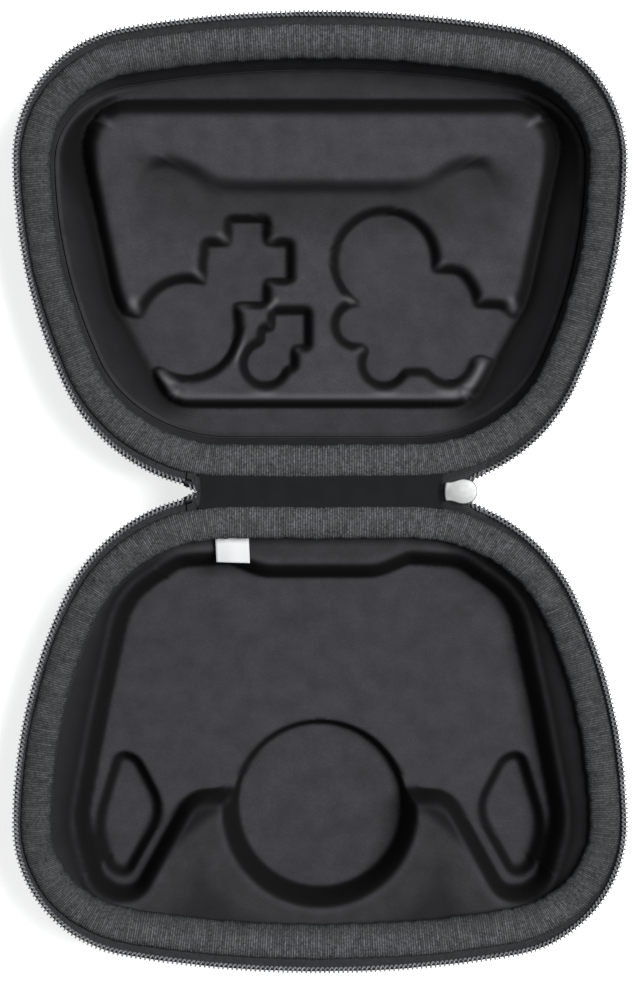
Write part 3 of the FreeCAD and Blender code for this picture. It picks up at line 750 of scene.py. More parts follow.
TAPE_THICKNESS = 0.6 * MM
TAPE_SWAY = 0.12 * MM
TAPE_STEPS = 520
CHAIN_RIGHT = 49.0 * MM
CHAIN_LEFT = 39.0 * MM


def rim_distance(x):
    """Distance along the rim at which its first arc reaches x."""
    return HINGE_FLAT + ARC_RADII[0] * np.arcsin((x - HINGE_FLAT) / ARC_RADII[0])


CHAIN_START = rim_distance(CHAIN_RIGHT)
CHAIN_END = RIM_LENGTH - rim_distance(CHAIN_LEFT)


def zipper_twill():
    """Polyester zipper tape: fine diagonal twill, 0.45 mm from rib to rib, dull and dark."""
    material, place = new_material("polyester_twill_tape")
    cloth = add_node(material, "ShaderNodeMapping", {
        "Vector": place.outputs["UV"], "Rotation": (0.0, 0.0, 0.9),
        "Scale": bands_apart(0.45 * MM)})
    rib = add_node(material, "ShaderNodeTexWave", {
        "Vector": cloth.outputs["Vector"], "Scale": 2.0, "Distortion": 0.6, "Detail": 2.0})
    fleck = add_node(material, "ShaderNodeTexNoise", {
        "Vector": place.outputs["Object"], "Scale": 900.0, "Detail": 3.0})
    share = add_node(material, "ShaderNodeMath", {
        0: rib.outputs["Fac"], 1: fleck.outputs["Fac"]}, operation="MULTIPLY")
    return shaded(material, share.outputs["Value"],
                  {"Roughness": 0.8, "IOR": 1.5, "Specular IOR Level": 0.2},
                  tones=("#1c1d1f", "#4a4c4f"),
                  relief=(rib.outputs["Fac"], 0.7, 0.1 * MM))


def rim_noise(distance, waves, seed):
    """Sum of sines that closes round the rim, with whole numbers of waves and seeded phases."""
    random = np.random.default_rng(seed)
    phases = random.uniform(0.0, 2.0 * np.pi, len(waves))
    turns = 2.0 * np.pi * distance / RIM_LENGTH
    return sum(np.sin(wave * turns + phase) for wave, phase in zip(waves, phases)) / len(waves)


twill = zipper_twill()
tape_steps = np.linspace(CHAIN_START, CHAIN_END, TAPE_STEPS)
tape_middle = np.array([(0.75, -2.0), (1.5, -2.15), (2.6, -2.95), (4.2, -3.75), (6.0, -4.02),
                        (8.4, -4.05)]) * MM
tape_way = np.gradient(tape_middle, axis=0)
tape_normal = unit(np.stack([-tape_way[:, 1], tape_way[:, 0]], axis=1))
tape_section = np.concatenate([tape_middle + tape_normal * TAPE_THICKNESS / 2.0,
                               (tape_middle - tape_normal * TAPE_THICKNESS / 2.0)[::-1]])
tape_uv = cloth_uv(tape_steps, path_length(*tape_section.T))
for seed, (half, side) in enumerate(SIDES.items()):
    sway = TAPE_SWAY * rim_noise(tape_steps, (9, 14, 23, 37), seed)
    tape_points = along_rim(tape_steps, tape_section[:, :1] + sway, RIM + tape_section[:, 1:], side)
    tape = grid_piece(half + "_zipper_tape_cloth", tape_points, twill, tape_uv,
                      closed_rows=True, capped=True)
    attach(tape, half)
    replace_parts(tape, half + "_zipper_tape")


# Zipper coils
# One nylon monofilament on each tape edge, wound into a flat spiral with a turn every 1.4 mm
# and stitched down along its inner side. The two are half a turn apart, so that they mesh.

COIL_PITCH = 1.4 * MM
COIL_STEPS = 12
COIL_WIRE = 0.3 * MM
WIRE_SIDES = 6
COIL_DEPTH = 0.78 * MM
COIL_RISE = 0.62 * MM
COIL_INSET = 1.2 * MM
COIL_LEAN = 0.28 * MM
COIL_HEIGHT = RIM - 0.95 * MM
COIL_PHASE = {"base": 0.0, "lid": np.pi}


def monofilament():
    """Nylon monofilament: smooth extruded wire, grey, with a tight bright glint on each turn."""
    material, place = new_material("nylon_monofilament")
    streak = add_node(material, "ShaderNodeTexNoise", {
        "Vector": place.outputs["Object"], "Scale": 420.0, "Detail": 2.0})
    return shaded(material, streak.outputs["Fac"], {
        "Roughness": 0.26, "IOR": 1.53, "Coat Weight": 0.25, "Coat Roughness": 0.2},
        tones=("#333437", "#96989c"))


def full_turn(count):
    """Angles of a full turn in equal steps from zero, without the closing one."""
    return np.linspace(0.0, 2.0 * np.pi, count, endpoint=False)


def tube(points, across, upward, radius, sides):
    """Round wire along points: each ring is the point plus radius * (cos * across + sin * up)."""
    angle = full_turn(sides)[None, :, None]
    return (points[:, None, :] + radius * (np.cos(angle) * across[:, None, :]
                                           + np.sin(angle) * upward[:, None, :]))


def coil_wire(start, end, phase, side):
    """Flat spiral on the rim: a turn moves inwards by cos and upwards by sin, a pitch along.

    It leans along the rim with the sine. The wire's ring stands across it, towards the same
    turn with the wire's radius added.
    """
    turns = (end - start) / COIL_PITCH
    angle = np.linspace(0.0, 2.0 * np.pi * turns, int(turns * COIL_STEPS) + 1)
    distance = start + angle / (2.0 * np.pi) * COIL_PITCH
    wave, climb = np.cos(angle + phase), np.sin(angle + phase)
    points, outer, inner = (along_rim(way, COIL_INSET + (COIL_DEPTH + more) * wave,
                                      COIL_HEIGHT + (COIL_RISE + more) * climb, side)
                            for way, more in ((distance + COIL_LEAN * climb, 0.0),
                                              (distance, COIL_WIRE), (distance, 0.0)))
    across = unit(outer - inner)
    return tube(points, across, unit(np.cross(np.gradient(points, axis=0), across)),
                COIL_WIRE, WIRE_SIDES)


def coil_piece(name, wire):
    """The wound wire as one piece, with its cloth map in steps of the wire's radius."""
    around, along = (np.arange(count) * COIL_WIRE for count in (WIRE_SIDES, len(wire)))
    return grid_piece(name, wire, filament, cloth_uv(around, along), closed_columns=True, capped=True)


filament = monofilament()
for half, side in SIDES.items():
    coil = coil_piece(half + "_zipper_coil", coil_wire(CHAIN_START, CHAIN_END, COIL_PHASE[half], side))
    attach(coil, half)
    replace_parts(coil, half + "_zipper_teeth")


# Bindings
# Polyester grosgrain about 22 mm wide, folded over the raw edges of board, knit and tape and
# sewn through. Its ribs cross the roll, and the cloth puckers where it turns the corners.

RIB_PITCH = 0.74 * MM
RIB_STEPS = 4
RIB_RISE = 0.13 * MM
ROLL_TOP = RIM - 0.2 * MM
ROLL_FOOT = RIM - 4.0 * MM
ROLL_TUCK = RIM - 7.4 * MM
ROLL_POINTS = 19
RIB_PARTS = 5
OUTER_FOOT = 4.3
INNER_FOOT = 12.0
FRONT_SLOPE = 2.7 * MM
INNER_SIDE = 1.6
FOOT_HEIGHTS = (RIM - 3.6 * MM, RIM - 5.4 * MM)
TUCK = [(-0.7 * MM, ROLL_TUCK), (-2.4 * MM, ROLL_TUCK + 0.3 * MM),
        (-2.6 * MM, SHELL_TOP + 0.5 * MM)]


def grosgrain():
    """Polyester grosgrain: thick weft ribs under a coarse warp, dry and slightly silky. Light is
    painted on the ribs' crests and shade in the valleys between them, and the warp breaks the
    painted crests into short dashes, drawn at 0.7 mm."""
    material, place = new_material("polyester_grosgrain")
    level = add_node(material, "ShaderNodeAttribute", attribute_name="rib_level")
    thread = add_node(material, "ShaderNodeTexNoise", {
        "Vector": place.outputs["Object"], "Scale": 1.0 / (0.7 * MM), "Detail": 2.0,
        "Roughness": 0.6})
    dash = add_node(material, "ShaderNodeMapRange", {
        "Value": thread.outputs["Fac"], "From Min": 0.25, "From Max": 0.66})
    patch = add_node(material, "ShaderNodeTexNoise", {
        "Vector": place.outputs["Object"], "Scale": 1.0 / (5.0 * MM), "Detail": 3.0})
    # Painted light on the rib crests and painted shade in the valleys: the tone follows the ribs'
    # painted light.
    crest = add_node(material, "ShaderNodeMath", {
        0: level.outputs["Fac"], 1: 0.95, 2: 0.05}, operation="MULTIPLY_ADD")
    broken = add_node(material, "ShaderNodeMath", {
        0: dash.outputs["Result"], 1: crest.outputs["Value"]}, operation="MULTIPLY")
    share = add_node(material, "ShaderNodeMath", {
        0: patch.outputs["Fac"], 1: 0.2, 2: broken.outputs["Value"]}, operation="MULTIPLY_ADD")
    return shaded(material, share.outputs["Value"],
                  {"Roughness": 0.72, "IOR": 1.53, "Specular IOR Level": 0.08},
                  tones=("#0c0d0e", "#707275"),
                  relief=(thread.outputs["Fac"], 0.6, 0.12 * MM))


def binding_roll(side, seed):
    """Closed section of the roll at every step along the rim, the painted light on its ribs, and the
    steps.

    The visible part is a full half ellipse from the outer foot over the crest to the inner foot,
    cos^0.75 across and sin^0.6 upwards, with the seam's small ridge near the crest. Its feet move
    with the rim's heading: the roll is wider beside the hinge, slopes further in at the front and
    stands further out along the sides. Ribs are cosine waves along the rim, each with its own
    height in five parts of the roll.
    """
    steps = int(RIM_LENGTH / RIB_PITCH) * RIB_STEPS
    distance = np.arange(steps) * RIM_LENGTH / steps
    _, _, heading = rim_point(distance, 0.0)
    flank = np.sin(heading) ** 2
    hinge = np.clip(np.cos(heading), 0.0, 1.0) ** 3
    front = np.clip(-np.cos(heading), 0.0, 1.0) ** 2
    pucker = rim_noise(distance, (31, 47, 71, 103, 139), seed)
    slow = rim_noise(distance, (5, 8, 13, 19), seed + 7)
    outer = (OUTER_FOOT - 1.7 * flank + 0.25 * slow + 0.10 * pucker) * MM
    inner = (INNER_FOOT - 0.3 * flank + 2.2 * hinge + 0.2 * slow + 0.32 * pucker) * MM
    angle = np.linspace(0.0, np.pi, ROLL_POINTS)[:, None]
    middle, half_width = (outer + inner) / 2.0, (inner - outer) / 2.0
    reach = np.abs(np.cos(angle)) ** 0.75
    inset = middle - half_width * np.sign(np.cos(angle)) * reach
    inset = inset + FRONT_SLOPE * front * reach * (angle > INNER_SIDE)
    ridge = np.exp(-((angle - 1.75 - 0.3 * slow - 0.12 * pucker) / 0.2) ** 2)
    height = ROLL_FOOT + (ROLL_TOP - RIB_RISE - ROLL_FOOT) * np.sin(angle) ** 0.6
    height = height + (0.1 * slow * np.sin(angle) + 0.2 * (ridge - 1.0)) * MM
    height[0], height[-1] = FOOT_HEIGHTS
    wave = 0.5 - 0.5 * np.cos(2.0 * np.pi * distance * steps / RIB_STEPS / RIM_LENGTH)
    vigour = np.random.default_rng(seed).uniform(0.4, 1.0, (steps // RIB_STEPS, RIB_PARTS))
    part = np.linspace(0, RIB_PARTS - 1, ROLL_POINTS).astype(int)
    rib = wave * np.repeat(vigour, RIB_STEPS, axis=0)[:, part].T
    normal_in = -np.gradient(height, axis=0)
    normal_up = np.gradient(inset, axis=0)
    size = np.hypot(normal_in, normal_up)
    inset = inset + RIB_RISE * rib * normal_in / size
    height = np.minimum(height + RIB_RISE * rib * normal_up / size, RIM - 0.05 * MM)
    tuck = np.array(TUCK)
    inset = np.concatenate([inset, inner + FRONT_SLOPE * front + tuck[:, :1], outer[None, :] + 0.7 * MM])
    height = np.concatenate([height, np.repeat(tuck[:, 1:], steps, axis=1),
                             np.full((1, steps), SHELL_TOP + 0.62 * MM)])
    # Painted shade: the ribs' painted light is halved along the flanks and on the inner side at the
    # front.
    rib = rib * (1.0 - 0.5 * flank) * (1.0 - 0.5 * front * ease((angle - INNER_SIDE) / 0.7))
    level = np.concatenate([rib, np.zeros((len(height) - ROLL_POINTS, steps))])
    return along_rim(distance, inset, height, side), level, distance


ribbon = grosgrain()
for seed, (half, side) in enumerate(SIDES.items()):
    roll_points, rib_level, roll_steps = binding_roll(side, seed + 20)
    across = np.arange(len(roll_points)) * 0.9 * MM
    binding = grid_piece(half + "_grosgrain_binding", roll_points, ribbon,
                         cloth_uv(roll_steps, across), closed_rows=True, closed_columns=True)
    point_values(binding, "rib_level", rib_level)
    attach(binding, half)
    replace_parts(binding, half + "_binding")


# Woven label
# A strip of white satin ribbon, folded in half and caught by its two ends in the rear seam of
# the base. It is blank. It leaves the seam level and droops over the deck.

LABEL_X = -26.8 * MM
LABEL_WIDTH = 10.2 * MM
LABEL_FREE = 9.4 * MM
LABEL_START = 12.2 * MM
LABEL_SEAM = RIM - 7.1 * MM
LABEL_THICKNESS = 0.16 * MM
LABEL_GAP = 0.5 * MM
LABEL_ROWS = 22
LABEL_COLUMNS = 14


def satin_ribbon():
    """White polyester satin: smooth long floats with a soft shine, and thread lines 0.3 mm apart."""
    material, place = new_material("white_satin_ribbon")
    cloth = add_node(material, "ShaderNodeMapping", {
        "Vector": place.outputs["UV"], "Scale": bands_apart(0.3 * MM)})
    floats = add_node(material, "ShaderNodeTexWave", {
        "Vector": cloth.outputs["Vector"], "Scale": 2.0, "Distortion": 1.5, "Detail": 2.0},
        bands_direction="X")
    return shaded(material, floats.outputs["Fac"],
                  {"Roughness": 0.45, "IOR": 1.5, "Sheen Weight": 0.2},
                  tones=("#cfd0d2", "#e6e7e9"),
                  relief=(floats.outputs["Fac"], 0.35, 0.05 * MM))


def folded_label():
    """Sheet from the seam out, round a half circle of the gap's width and back under itself.

    The sheet droops with the way from the seam and its square, and curls a little across.
    """
    out = np.linspace(0.0, LABEL_FREE - LABEL_GAP / 2.0, LABEL_ROWS)
    turn = np.linspace(0.0, np.pi, 9)[1:-1]
    flat = np.ones_like(out)
    reach = np.concatenate([out, out[-1] + LABEL_GAP / 2.0 * np.sin(turn), out[::-1]])[:, None]
    rise = LABEL_GAP / 2.0 * np.concatenate([flat, np.cos(turn), -flat])[:, None]
    across = np.linspace(-0.5, 0.5, LABEL_COLUMNS)
    share = reach / LABEL_FREE
    droop = -1.0 * MM * share - 1.5 * MM * share ** 2
    curl = 0.35 * MM * share * np.cos(2.0 * np.pi * across) - 0.18 * MM * across
    x = LABEL_X + LABEL_WIDTH * across + 0.35 * MM * share
    y = -(LABEL_START + reach) - 0.3 * MM * across
    z = LABEL_SEAM + rise + droop + curl
    return np.stack(np.broadcast_arrays(x, y, z), axis=-1)


def thicken(sheet, thickness):
    """Gives a sheet its thickness, half of it to each side."""
    solidify = sheet.modifiers.new("thickness", "SOLIDIFY")
    solidify.thickness = thickness
    solidify.offset = 0.0


label_points = folded_label()
label_along = np.linspace(0.0, 2.0 * LABEL_FREE, len(label_points))
label_across = np.linspace(0.0, LABEL_WIDTH, LABEL_COLUMNS)
label = grid_piece("satin_label", label_points, satin_ribbon(),
                   cloth_uv(label_across, label_along))
thicken(label, LABEL_THICKNESS)
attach(label, "base")
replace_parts(label, "woven_label")


# Hinge strips
# Two bands of plain woven polyester sewn to both bindings, one on the inside and one on the
# outside. On the case they bend along the middle when the lid closes; here they are drawn open,
# sagging a little between the seams.

STRIP_HALF = 37.2 * MM
STRIP_REACH = 5.4 * MM
STRIP_THICKNESS = 0.35 * MM
STRIP_LAYERS = {"inner": (RIM - 1.9 * MM, 0.25 * MM), "outer": (RIM - 2.62 * MM, 0.08 * MM)}


def plain_weave():
    """Plain woven polyester, tight and flat: nearly black, with a dull even surface. The yarns
    are drawn 0.4 mm apart."""
    material, place = new_material("plain_woven_polyester")
    cloth = add_node(material, "ShaderNodeMapping", {
        "Vector": place.outputs["UV"], "Scale": bands_apart(0.4 * MM)})
    waves = [add_node(material, "ShaderNodeTexWave", {
        "Vector": cloth.outputs["Vector"], "Scale": 2.0, "Distortion": 0.4},
        bands_direction=axis) for axis in ("X", "Y")]
    weave = add_node(material, "ShaderNodeMath", {
        0: waves[0].outputs["Fac"], 1: waves[1].outputs["Fac"]}, operation="MULTIPLY")
    mottle = add_node(material, "ShaderNodeTexNoise", {
        "Vector": place.outputs["Object"], "Scale": 180.0, "Detail": 4.0})
    return shaded(material, mottle.outputs["Fac"],
                  {"Roughness": 0.7, "IOR": 1.53, "Specular IOR Level": 0.1},
                  tones=("#0f1011", "#17191a"),
                  relief=(weave.outputs["Value"], 0.5, 0.08 * MM))


def strip_surface(height, sag, seed):
    """Band across the hinge: it sags between its two seams by cos^2, with slow waves along X."""
    x = np.linspace(-STRIP_HALF, STRIP_HALF, 120)
    y = np.linspace(-STRIP_REACH, STRIP_REACH, 25)
    phases = np.random.default_rng(seed).uniform(0.0, 6.28, 3)
    ripple = sum(np.sin(wave * np.pi * x / STRIP_HALF + phase)
                 for wave, phase in zip((3, 5, 9), phases))
    belly = np.cos(np.pi * y[:, None] / (2.0 * STRIP_REACH)) ** 2
    z = height - sag * belly * (1.0 + 0.25 * ripple)
    return np.stack(np.broadcast_arrays(x, y[:, None], z), axis=-1), x, y


weave = plain_weave()
for seed, (layer, (height, sag)) in enumerate(STRIP_LAYERS.items()):
    strip_points, strip_x, strip_y = strip_surface(height, sag, seed + 5)
    strip = grid_piece("hinge_cloth_" + layer, strip_points, weave, cloth_uv(strip_x, strip_y))
    thicken(strip, STRIP_THICKNESS)
    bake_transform(strip)
    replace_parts(strip, "hinge_strip_" + layer)


# Slider and pull tab
# Die-cast zinc, nickel-plated and tumbled to a satin. Two plates are joined by a wedge between
# the chains, and a crown outside holds the pull tab, which hangs free.

SLIDER_TAIL = 37.5 * MM
SLIDER_LENGTH = 10.0 * MM
PLATE_LOW = 1.1 * MM
PLATE_THICKNESS = 1.0 * MM
PLATE_POINTS = 72
WEDGE_POINTS = 40
WEDGE_HALF = 1.25 * MM
SUNK = 0.1 * MM
FLANGE_X = (SLIDER_TAIL + 0.8 * MM, SLIDER_TAIL + 4.0 * MM)
FLANGE_Y = (2.3 * MM, 2.85 * MM)
FLANGE_DEPTH = 0.6 * MM
BAR_SECTION = 28
CROWN_REACH = 2.9 * MM
CROWN_HALF_WIDTH = 0.9 * MM
CROWN_WIRE = 0.8 * MM
CROWN_OPENING = 1.3 * MM
CROWN_CORNER = 0.7 * MM
PIVOT = (42.1 * MM, RIM - 2.75 * MM)


def nickel_plate():
    """Nickel-plated zinc casting: pale warm grey metal, tumbled satin, with a faint soft swirl."""
    material, place = new_material("nickel_plated_zinc")
    swirl = add_node(material, "ShaderNodeTexNoise", {
        "Vector": place.outputs["Object"], "Scale": 700.0, "Detail": 3.0})
    rough = add_node(material, "ShaderNodeMapRange", {
        "Value": swirl.outputs["Fac"], "To Min": 0.46, "To Max": 0.58})
    return shaded(material, linear("#8d8e8e"),
                  {"Metallic": 1.0, "Roughness": rough.outputs["Result"]},
                  relief=(swirl.outputs["Fac"], 0.08, 0.05 * MM))


def at_height(plan, height):
    """Ring of points at one height, from the rows of plan x and y."""
    return np.stack([*plan, np.full_like(plan[0], height)], axis=-1)


def plate_outline(angle, inset):
    """Slider plate: straight tail, shoulders that swell by a cosine, and a blunt round nose."""
    share = 0.5 - 0.5 * np.cos(angle)
    swell = 0.5 - 0.5 * np.cos(2.0 * np.pi * np.clip((share - 0.12) / 0.92, 0.0, 1.0))
    half = (2.9 + 0.95 * swell) * MM - inset
    tail = np.clip(share / 0.05, 0.0, 1.0)
    nose = np.clip((1.0 - share) / 0.2, 0.0, 1.0)
    half = half * np.sqrt(1.0 - (1.0 - tail) ** 2) * np.sqrt(1.0 - (1.0 - nose) ** 2)
    x = SLIDER_TAIL + inset + (SLIDER_LENGTH - 2.0 * inset) * share
    return x, np.sign(np.sin(angle)) * half


def slider_plate(low, high, edge):
    """Plate with rounded rims. Its outline, drawn in by edge * (1 - sin), leaves the lower face
    by edge * (1 - cos), and the upper face takes the same steps in reverse."""
    turn = np.linspace(0.0, np.pi / 2.0, 5)
    near, far = edge * (1.0 - np.sin(turn)), edge * (1.0 - np.cos(turn))
    insets = np.concatenate([near, far])
    heights = np.concatenate([low + far, high - near])
    return np.stack([at_height(plate_outline(full_turn(PLATE_POINTS), inset), height)
                     for inset, height in zip(insets, heights)])


nickel = nickel_plate()


def metal_piece(name, points, body, metal=nickel, ends_meet=False):
    """Metal piece from rings of points, closed by caps or, where its ends meet, by itself."""
    rows, columns, _ = points.shape
    piece = grid_piece(name, points, metal,
                       cloth_uv(np.arange(columns) * MM, np.arange(rows) * MM),
                       closed_rows=ends_meet, closed_columns=True, capped=not ends_meet)
    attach(piece, body)
    return piece


def rounded_bar(low, high, edge, axis):
    """Bar along an axis between two corners. Its section is a rectangle with corners turned by
    the edge's radius, and at both ends it draws in by 0.6 of that over the edge's length."""
    low, high = np.array(low), np.array(high)
    others = [k for k in range(3) if k != axis]
    angle = full_turn(BAR_SECTION) + np.pi / BAR_SECTION
    middle, reach = (low + high) / 2.0, (high - low) / 2.0
    places = (low[axis], low[axis] + edge, high[axis] - edge, high[axis])
    bar = np.zeros((4, BAR_SECTION, 3))
    for ring, place, drawn_in in zip(bar, places, (0.6 * edge, 0.0, 0.0, 0.6 * edge)):
        ring[:, axis] = place
        for k, wave in zip(others, (np.cos(angle), np.sin(angle))):
            ring[:, k] = middle[k] + np.sign(wave) * (reach[k] - edge) + (edge - drawn_in) * wave
    return bar


def crown_arch():
    """Flat strip bent into an arch: its middle line runs down, across and up again with round
    corners, and its section is a rounded rectangle along Y."""
    face = RIM - PLATE_LOW - PLATE_THICKNESS
    reach = CROWN_REACH - CROWN_WIRE / 2.0
    depth = CROWN_OPENING + CROWN_WIRE / 2.0
    bend = np.linspace(0.0, np.pi / 2.0, 8)
    left_x = -reach + CROWN_CORNER * (1.0 - np.cos(bend))
    left_z = -depth + CROWN_CORNER * (1.0 - np.sin(bend))
    x = np.concatenate([[-reach], left_x, -left_x[::-1], [reach]]) + PIVOT[0]
    z = np.concatenate([[0.15 * MM], left_z, left_z[::-1], [0.15 * MM]]) + face
    along = unit(np.stack([np.gradient(x), np.gradient(z)], axis=1))
    angle = full_turn(20) + np.pi / 20.0
    wide = np.sign(np.cos(angle)) * np.abs(np.cos(angle)) ** 0.4 * CROWN_HALF_WIDTH
    thick = np.sign(np.sin(angle)) * np.abs(np.sin(angle)) ** 0.4 * CROWN_WIRE / 2.0
    across_x = x[:, None] + along[:, 1:] * thick
    across_z = z[:, None] - along[:, :1] * thick
    return np.stack(np.broadcast_arrays(across_x, wide, across_z), axis=-1)


inner_face, outer_face = RIM + PLATE_LOW, RIM - PLATE_LOW
wedge_angle = full_turn(WEDGE_POINTS)
wedge_plan = (SLIDER_TAIL + SLIDER_LENGTH * (0.77 + 0.17 * np.cos(wedge_angle)),
              WEDGE_HALF * np.sin(wedge_angle) * (1.0 + 0.35 * np.cos(wedge_angle)))
slider_forms = [
    ("slider_inner_plate", slider_plate(inner_face, inner_face + PLATE_THICKNESS, 0.4 * MM)),
    ("slider_outer_plate", slider_plate(outer_face - PLATE_THICKNESS, outer_face, 0.3 * MM)),
    ("slider_wedge", np.stack([at_height(wedge_plan, outer_face - SUNK),
                               at_height(wedge_plan, inner_face + SUNK)]))]
for sign in (-1.0, 1.0):
    y_low, y_high = sorted(sign * y for y in FLANGE_Y)
    for low, high in ((outer_face - SUNK, outer_face + FLANGE_DEPTH),
                      (inner_face - FLANGE_DEPTH, inner_face + SUNK)):
        slider_forms.append(("slider_flange", rounded_bar(
            (FLANGE_X[0], y_low, low), (FLANGE_X[1], y_high, high), 0.15 * MM, 0)))
slider_forms.append(("slider_crown", crown_arch()))
for name, points in slider_forms:
    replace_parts(metal_piece(name, points, "slider"), "slider_body")

# The pull tab is one casting: a round bar in the crown, two cheeks beside it and a flat blade
# with a hole near its round end.

TAB_HALF = 2.9 * MM
TAB_THICK = 1.0 * MM
TAB_LENGTH = 27.0 * MM
TAB_WINDOW = 3.4 * MM
TAB_HOLE = 1.2 * MM
TAB_EDGE = 0.3 * MM
TAB_POINTS = 96
HOLE_EDGE = 0.12 * MM
CHEEK_INSIDE = 1.05 * MM
BAR_RADIUS = 0.5 * MM
BAR_POINTS = 9


def tab_blade():
    """Closed ring surface between the hole and the outer edge of the blade.

    In the blade's own plane the outer edge is a half circle below the round end's centre. Above
    it are a box's sides, with a waist of up to 0.12 of their width. Rings run over the front,
    round the outer edge and back to the hole: each is a share of the outer edge, moved out, at
    its own depth.
    """
    angle = full_turn(TAB_POINTS)
    centre = PIVOT[1] - TAB_LENGTH + TAB_HALF
    top = PIVOT[1] - TAB_WINDOW - centre
    waist = 1.0 - 0.12 * np.sin(np.clip(np.sin(angle), 0.0, 1.0) * np.pi)
    to_side = TAB_HALF * waist / np.maximum(np.abs(np.cos(angle)), 1e-6)
    to_top = top / np.maximum(np.sin(angle), 1e-6)
    outer = np.where(np.sin(angle) > 0.0, np.minimum(to_side, to_top), TAB_HALF)
    half = TAB_THICK / 2.0
    front = [(0.0, TAB_HOLE, HOLE_EDGE - half), (0.0, TAB_HOLE + HOLE_EDGE, -half),
             (0.5, 0.5 * TAB_HOLE, -half), (1.0, -TAB_EDGE, -half),
             (1.0, -TAB_EDGE * 0.3, 0.1 * MM - half), (1.0, 0.0, TAB_EDGE - half)]
    rings = front + [(share, shift, -depth) for share, shift, depth in reversed(front)]
    share, shift, depth = np.array(rings).T[:, :, None]
    radius = share * outer + shift
    return np.stack(np.broadcast_arrays(PIVOT[0] + depth, radius * np.cos(angle),
                                        centre + radius * np.sin(angle)), axis=-1)


blade = metal_piece("pull_tab_blade", tab_blade(), "pull", ends_meet=True)
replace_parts(blade, "pull_tab")
for sign in (-1.0, 1.0):
    y_low, y_high = sorted((sign * CHEEK_INSIDE, sign * TAB_HALF))
    cheek = rounded_bar((PIVOT[0] - TAB_THICK / 2.0, y_low, PIVOT[1] - TAB_WINDOW - 0.6 * MM),
                        (PIVOT[0] + TAB_THICK / 2.0, y_high, PIVOT[1] + 0.5 * MM), TAB_EDGE, 2)
    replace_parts(metal_piece("pull_tab_cheek", cheek, "pull"), "pull_tab")
bar_end = TAB_HALF - 0.4 * MM
bar_path = np.stack(np.broadcast_arrays(PIVOT[0], np.linspace(-bar_end, bar_end, BAR_POINTS),
                                        PIVOT[1]), axis=-1)
bar = tube(bar_path, np.tile([1.0, 0.0, 0.0], (BAR_POINTS, 1)),
           np.tile([0.0, 0.0, 1.0], (BAR_POINTS, 1)), BAR_RADIUS, 24)
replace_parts(metal_piece("pull_tab_bar", bar, "pull"), "pull_tab")


# Zipper ends
# At the slider both tapes and coils run together and pass through it under the hinge. At the
# other end each tape is turned in beside the strip, with a small crimped metal stop on it.

END_MEET = 40.5 * MM
LEFT_MEET = 35.5 * MM
PARTING = 7.0 * MM
TAIL_SEAM = 6.5 * MM
TAIL_ROWS = 12
COIL_LINE = 0.55 * MM
COIL_SQUEEZE = 0.92
END_DROP = 0.15 * MM
RIM_DROP = 2.0 * MM
SEAM_DROP = 3.35 * MM
STRIP_DROP = 2.35 * MM
STOP_LENGTH = 2.4 * MM
STOP_RINGS = 9


def chain_line(x, meet_x):
    """The rim's y at x, and how far the chain is open there: 0 inside meet_x, 1 outside it.

    The rim leaves the hinge's side on its first arc, y = r - root(r^2 - past^2).
    """
    past = np.maximum(np.abs(x) - HINGE_FLAT, 0.0)
    rim_y = ARC_RADII[0] - np.sqrt(ARC_RADII[0] ** 2 - past ** 2)
    return rim_y, ease((np.abs(x) - meet_x) / PARTING)


def tail_band(start_x, end_x, meet_x, side):
    """Tape from the rim's chain line into the slider, for one half.

    Its free edge follows the rim outside meet_x and eases to the middle line inside it. The
    other edge stays in the seam under the binding, and the band's height eases between them.
    Its end dips between the two hinge strips.
    """
    x = np.linspace(start_x, end_x, 40)
    share = np.linspace(0.0, 1.0, TAIL_ROWS)[:, None]
    rim_y, apart = chain_line(x, meet_x)
    free = 0.25 * MM * ease((np.abs(x) - STRIP_HALF - 0.6 * MM) / (1.5 * MM))
    free = free + (rim_y + 0.5 * MM) * apart
    y = side * (free + (rim_y + TAIL_SEAM - free) * share)
    free_drop = END_DROP + (RIM_DROP - END_DROP) * apart
    drop = free_drop + (SEAM_DROP - free_drop) * ease(share * 1.6 - 0.45)
    dip = ease((STRIP_HALF + 0.2 * MM - np.abs(x)) / (1.2 * MM))
    z = RIM - drop - dip * np.maximum(STRIP_DROP - drop, 0.0)
    return np.stack(np.broadcast_arrays(x, y, z), axis=-1), x


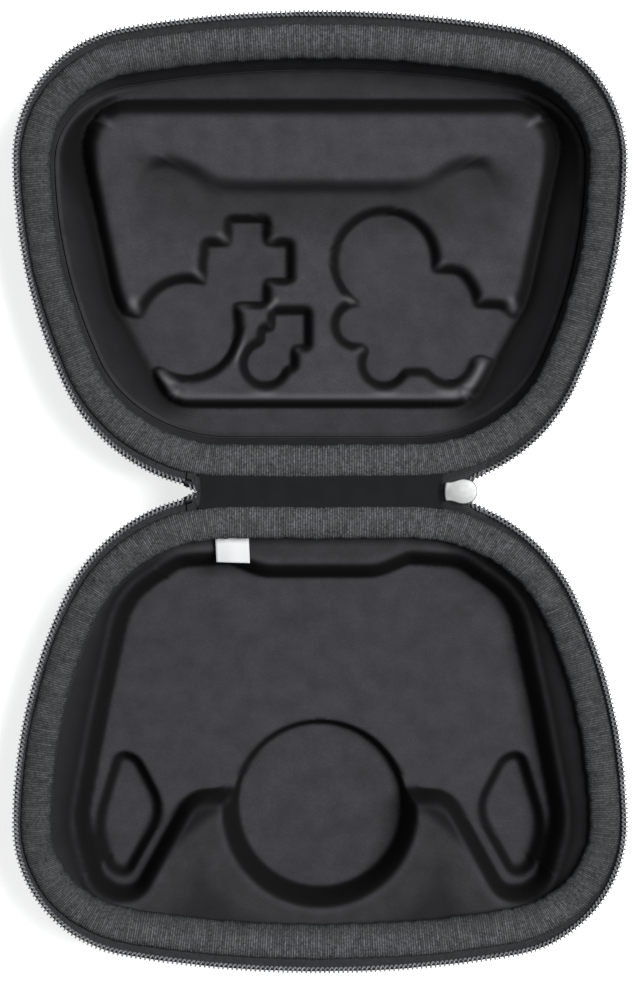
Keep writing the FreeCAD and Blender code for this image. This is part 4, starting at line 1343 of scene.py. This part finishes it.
def coil_run(start_x, end_x, meet_x, side, phase):
    """Coil from the rim's chain line into the slider: the flat spiral about the band's edge.

    It climbs to the rim's height and its turns lie closer, by 0.92, where both coils meet.
    """
    turns = abs(end_x - start_x) / (COIL_PITCH * COIL_SQUEEZE)
    angle = np.linspace(0.0, 2.0 * np.pi * turns, int(turns * COIL_STEPS) + 1)
    x = start_x + (end_x - start_x) * angle / angle[-1]
    rim_y, apart = chain_line(x, meet_x)
    line = COIL_LINE + (rim_y + COIL_INSET - COIL_LINE) * apart
    wave, climb = np.cos(angle + phase), np.sin(angle + phase)
    height = RIM + (COIL_HEIGHT - RIM) * apart
    points = np.stack([x, side * (line + COIL_DEPTH * wave), height + COIL_RISE * climb], axis=-1)
    across = np.stack([np.zeros_like(x), side * wave, climb], axis=-1)
    return tube(points, across, unit(np.cross(np.gradient(points, axis=0), across)),
                COIL_WIRE, WIRE_SIDES)


tail_start, tail_end = CHAIN_RIGHT + 1.2 * MM, STRIP_HALF - 1.6 * MM
left_start, left_end = -CHAIN_LEFT - 1.2 * MM, -STRIP_HALF + 1.0 * MM
for half, side in SIDES.items():
    for where, start_x, end_x, coil_end, meet_x in (
            ("slider", tail_start, tail_end, STRIP_HALF + 0.9 * MM, END_MEET),
            ("left", left_start, left_end, -STRIP_HALF - 0.3 * MM, LEFT_MEET)):
        band_points, band_x = tail_band(start_x, end_x, meet_x, side)
        band = grid_piece(half + "_tape_at_" + where, band_points, twill,
                          cloth_uv(np.abs(band_x - start_x), np.linspace(0.0, TAIL_SEAM, TAIL_ROWS)))
        thicken(band, TAPE_THICKNESS * 0.8)
        run = coil_piece(half + "_coil_at_" + where,
                         coil_run(start_x, coil_end, meet_x, side, COIL_PHASE[half]))
        for piece, name in ((band, "zipper_tape"), (run, "zipper_teeth")):
            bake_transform(piece)
            if where == "slider":
                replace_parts(piece, "zipper_end")


def blackened_brass():
    """Brass strip with a black oxide finish: dark satin metal, a little uneven."""
    material, place = new_material("blackened_brass")
    patina = add_node(material, "ShaderNodeTexNoise", {
        "Vector": place.outputs["Object"], "Scale": 900.0, "Detail": 3.0})
    return shaded(material, patina.outputs["Fac"], {"Metallic": 1.0, "Roughness": 0.5},
                  tones=("#1b1c1d", "#343536"))


def crimped_stop(side):
    """Small bent strip over the coil: an oval tube round the chain line, wider in the middle."""
    way = np.linspace(-0.5, 0.5, STOP_RINGS)[:, None]
    distance = CHAIN_END - STOP_LENGTH / 2.0 + way * STOP_LENGTH
    angle = full_turn(24)
    swell = 1.0 + 0.12 * np.cos(np.pi * way)
    inset = COIL_INSET + 1.12 * MM * np.cos(angle) * swell
    height = COIL_HEIGHT + 0.92 * MM * np.sin(angle)
    return along_rim(distance, inset, height, side)


brass = blackened_brass()
for half, side in SIDES.items():
    stop = metal_piece(half + "_crimped_stop", crimped_stop(side), half, brass)
    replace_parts(stop, half + "_top_stop")
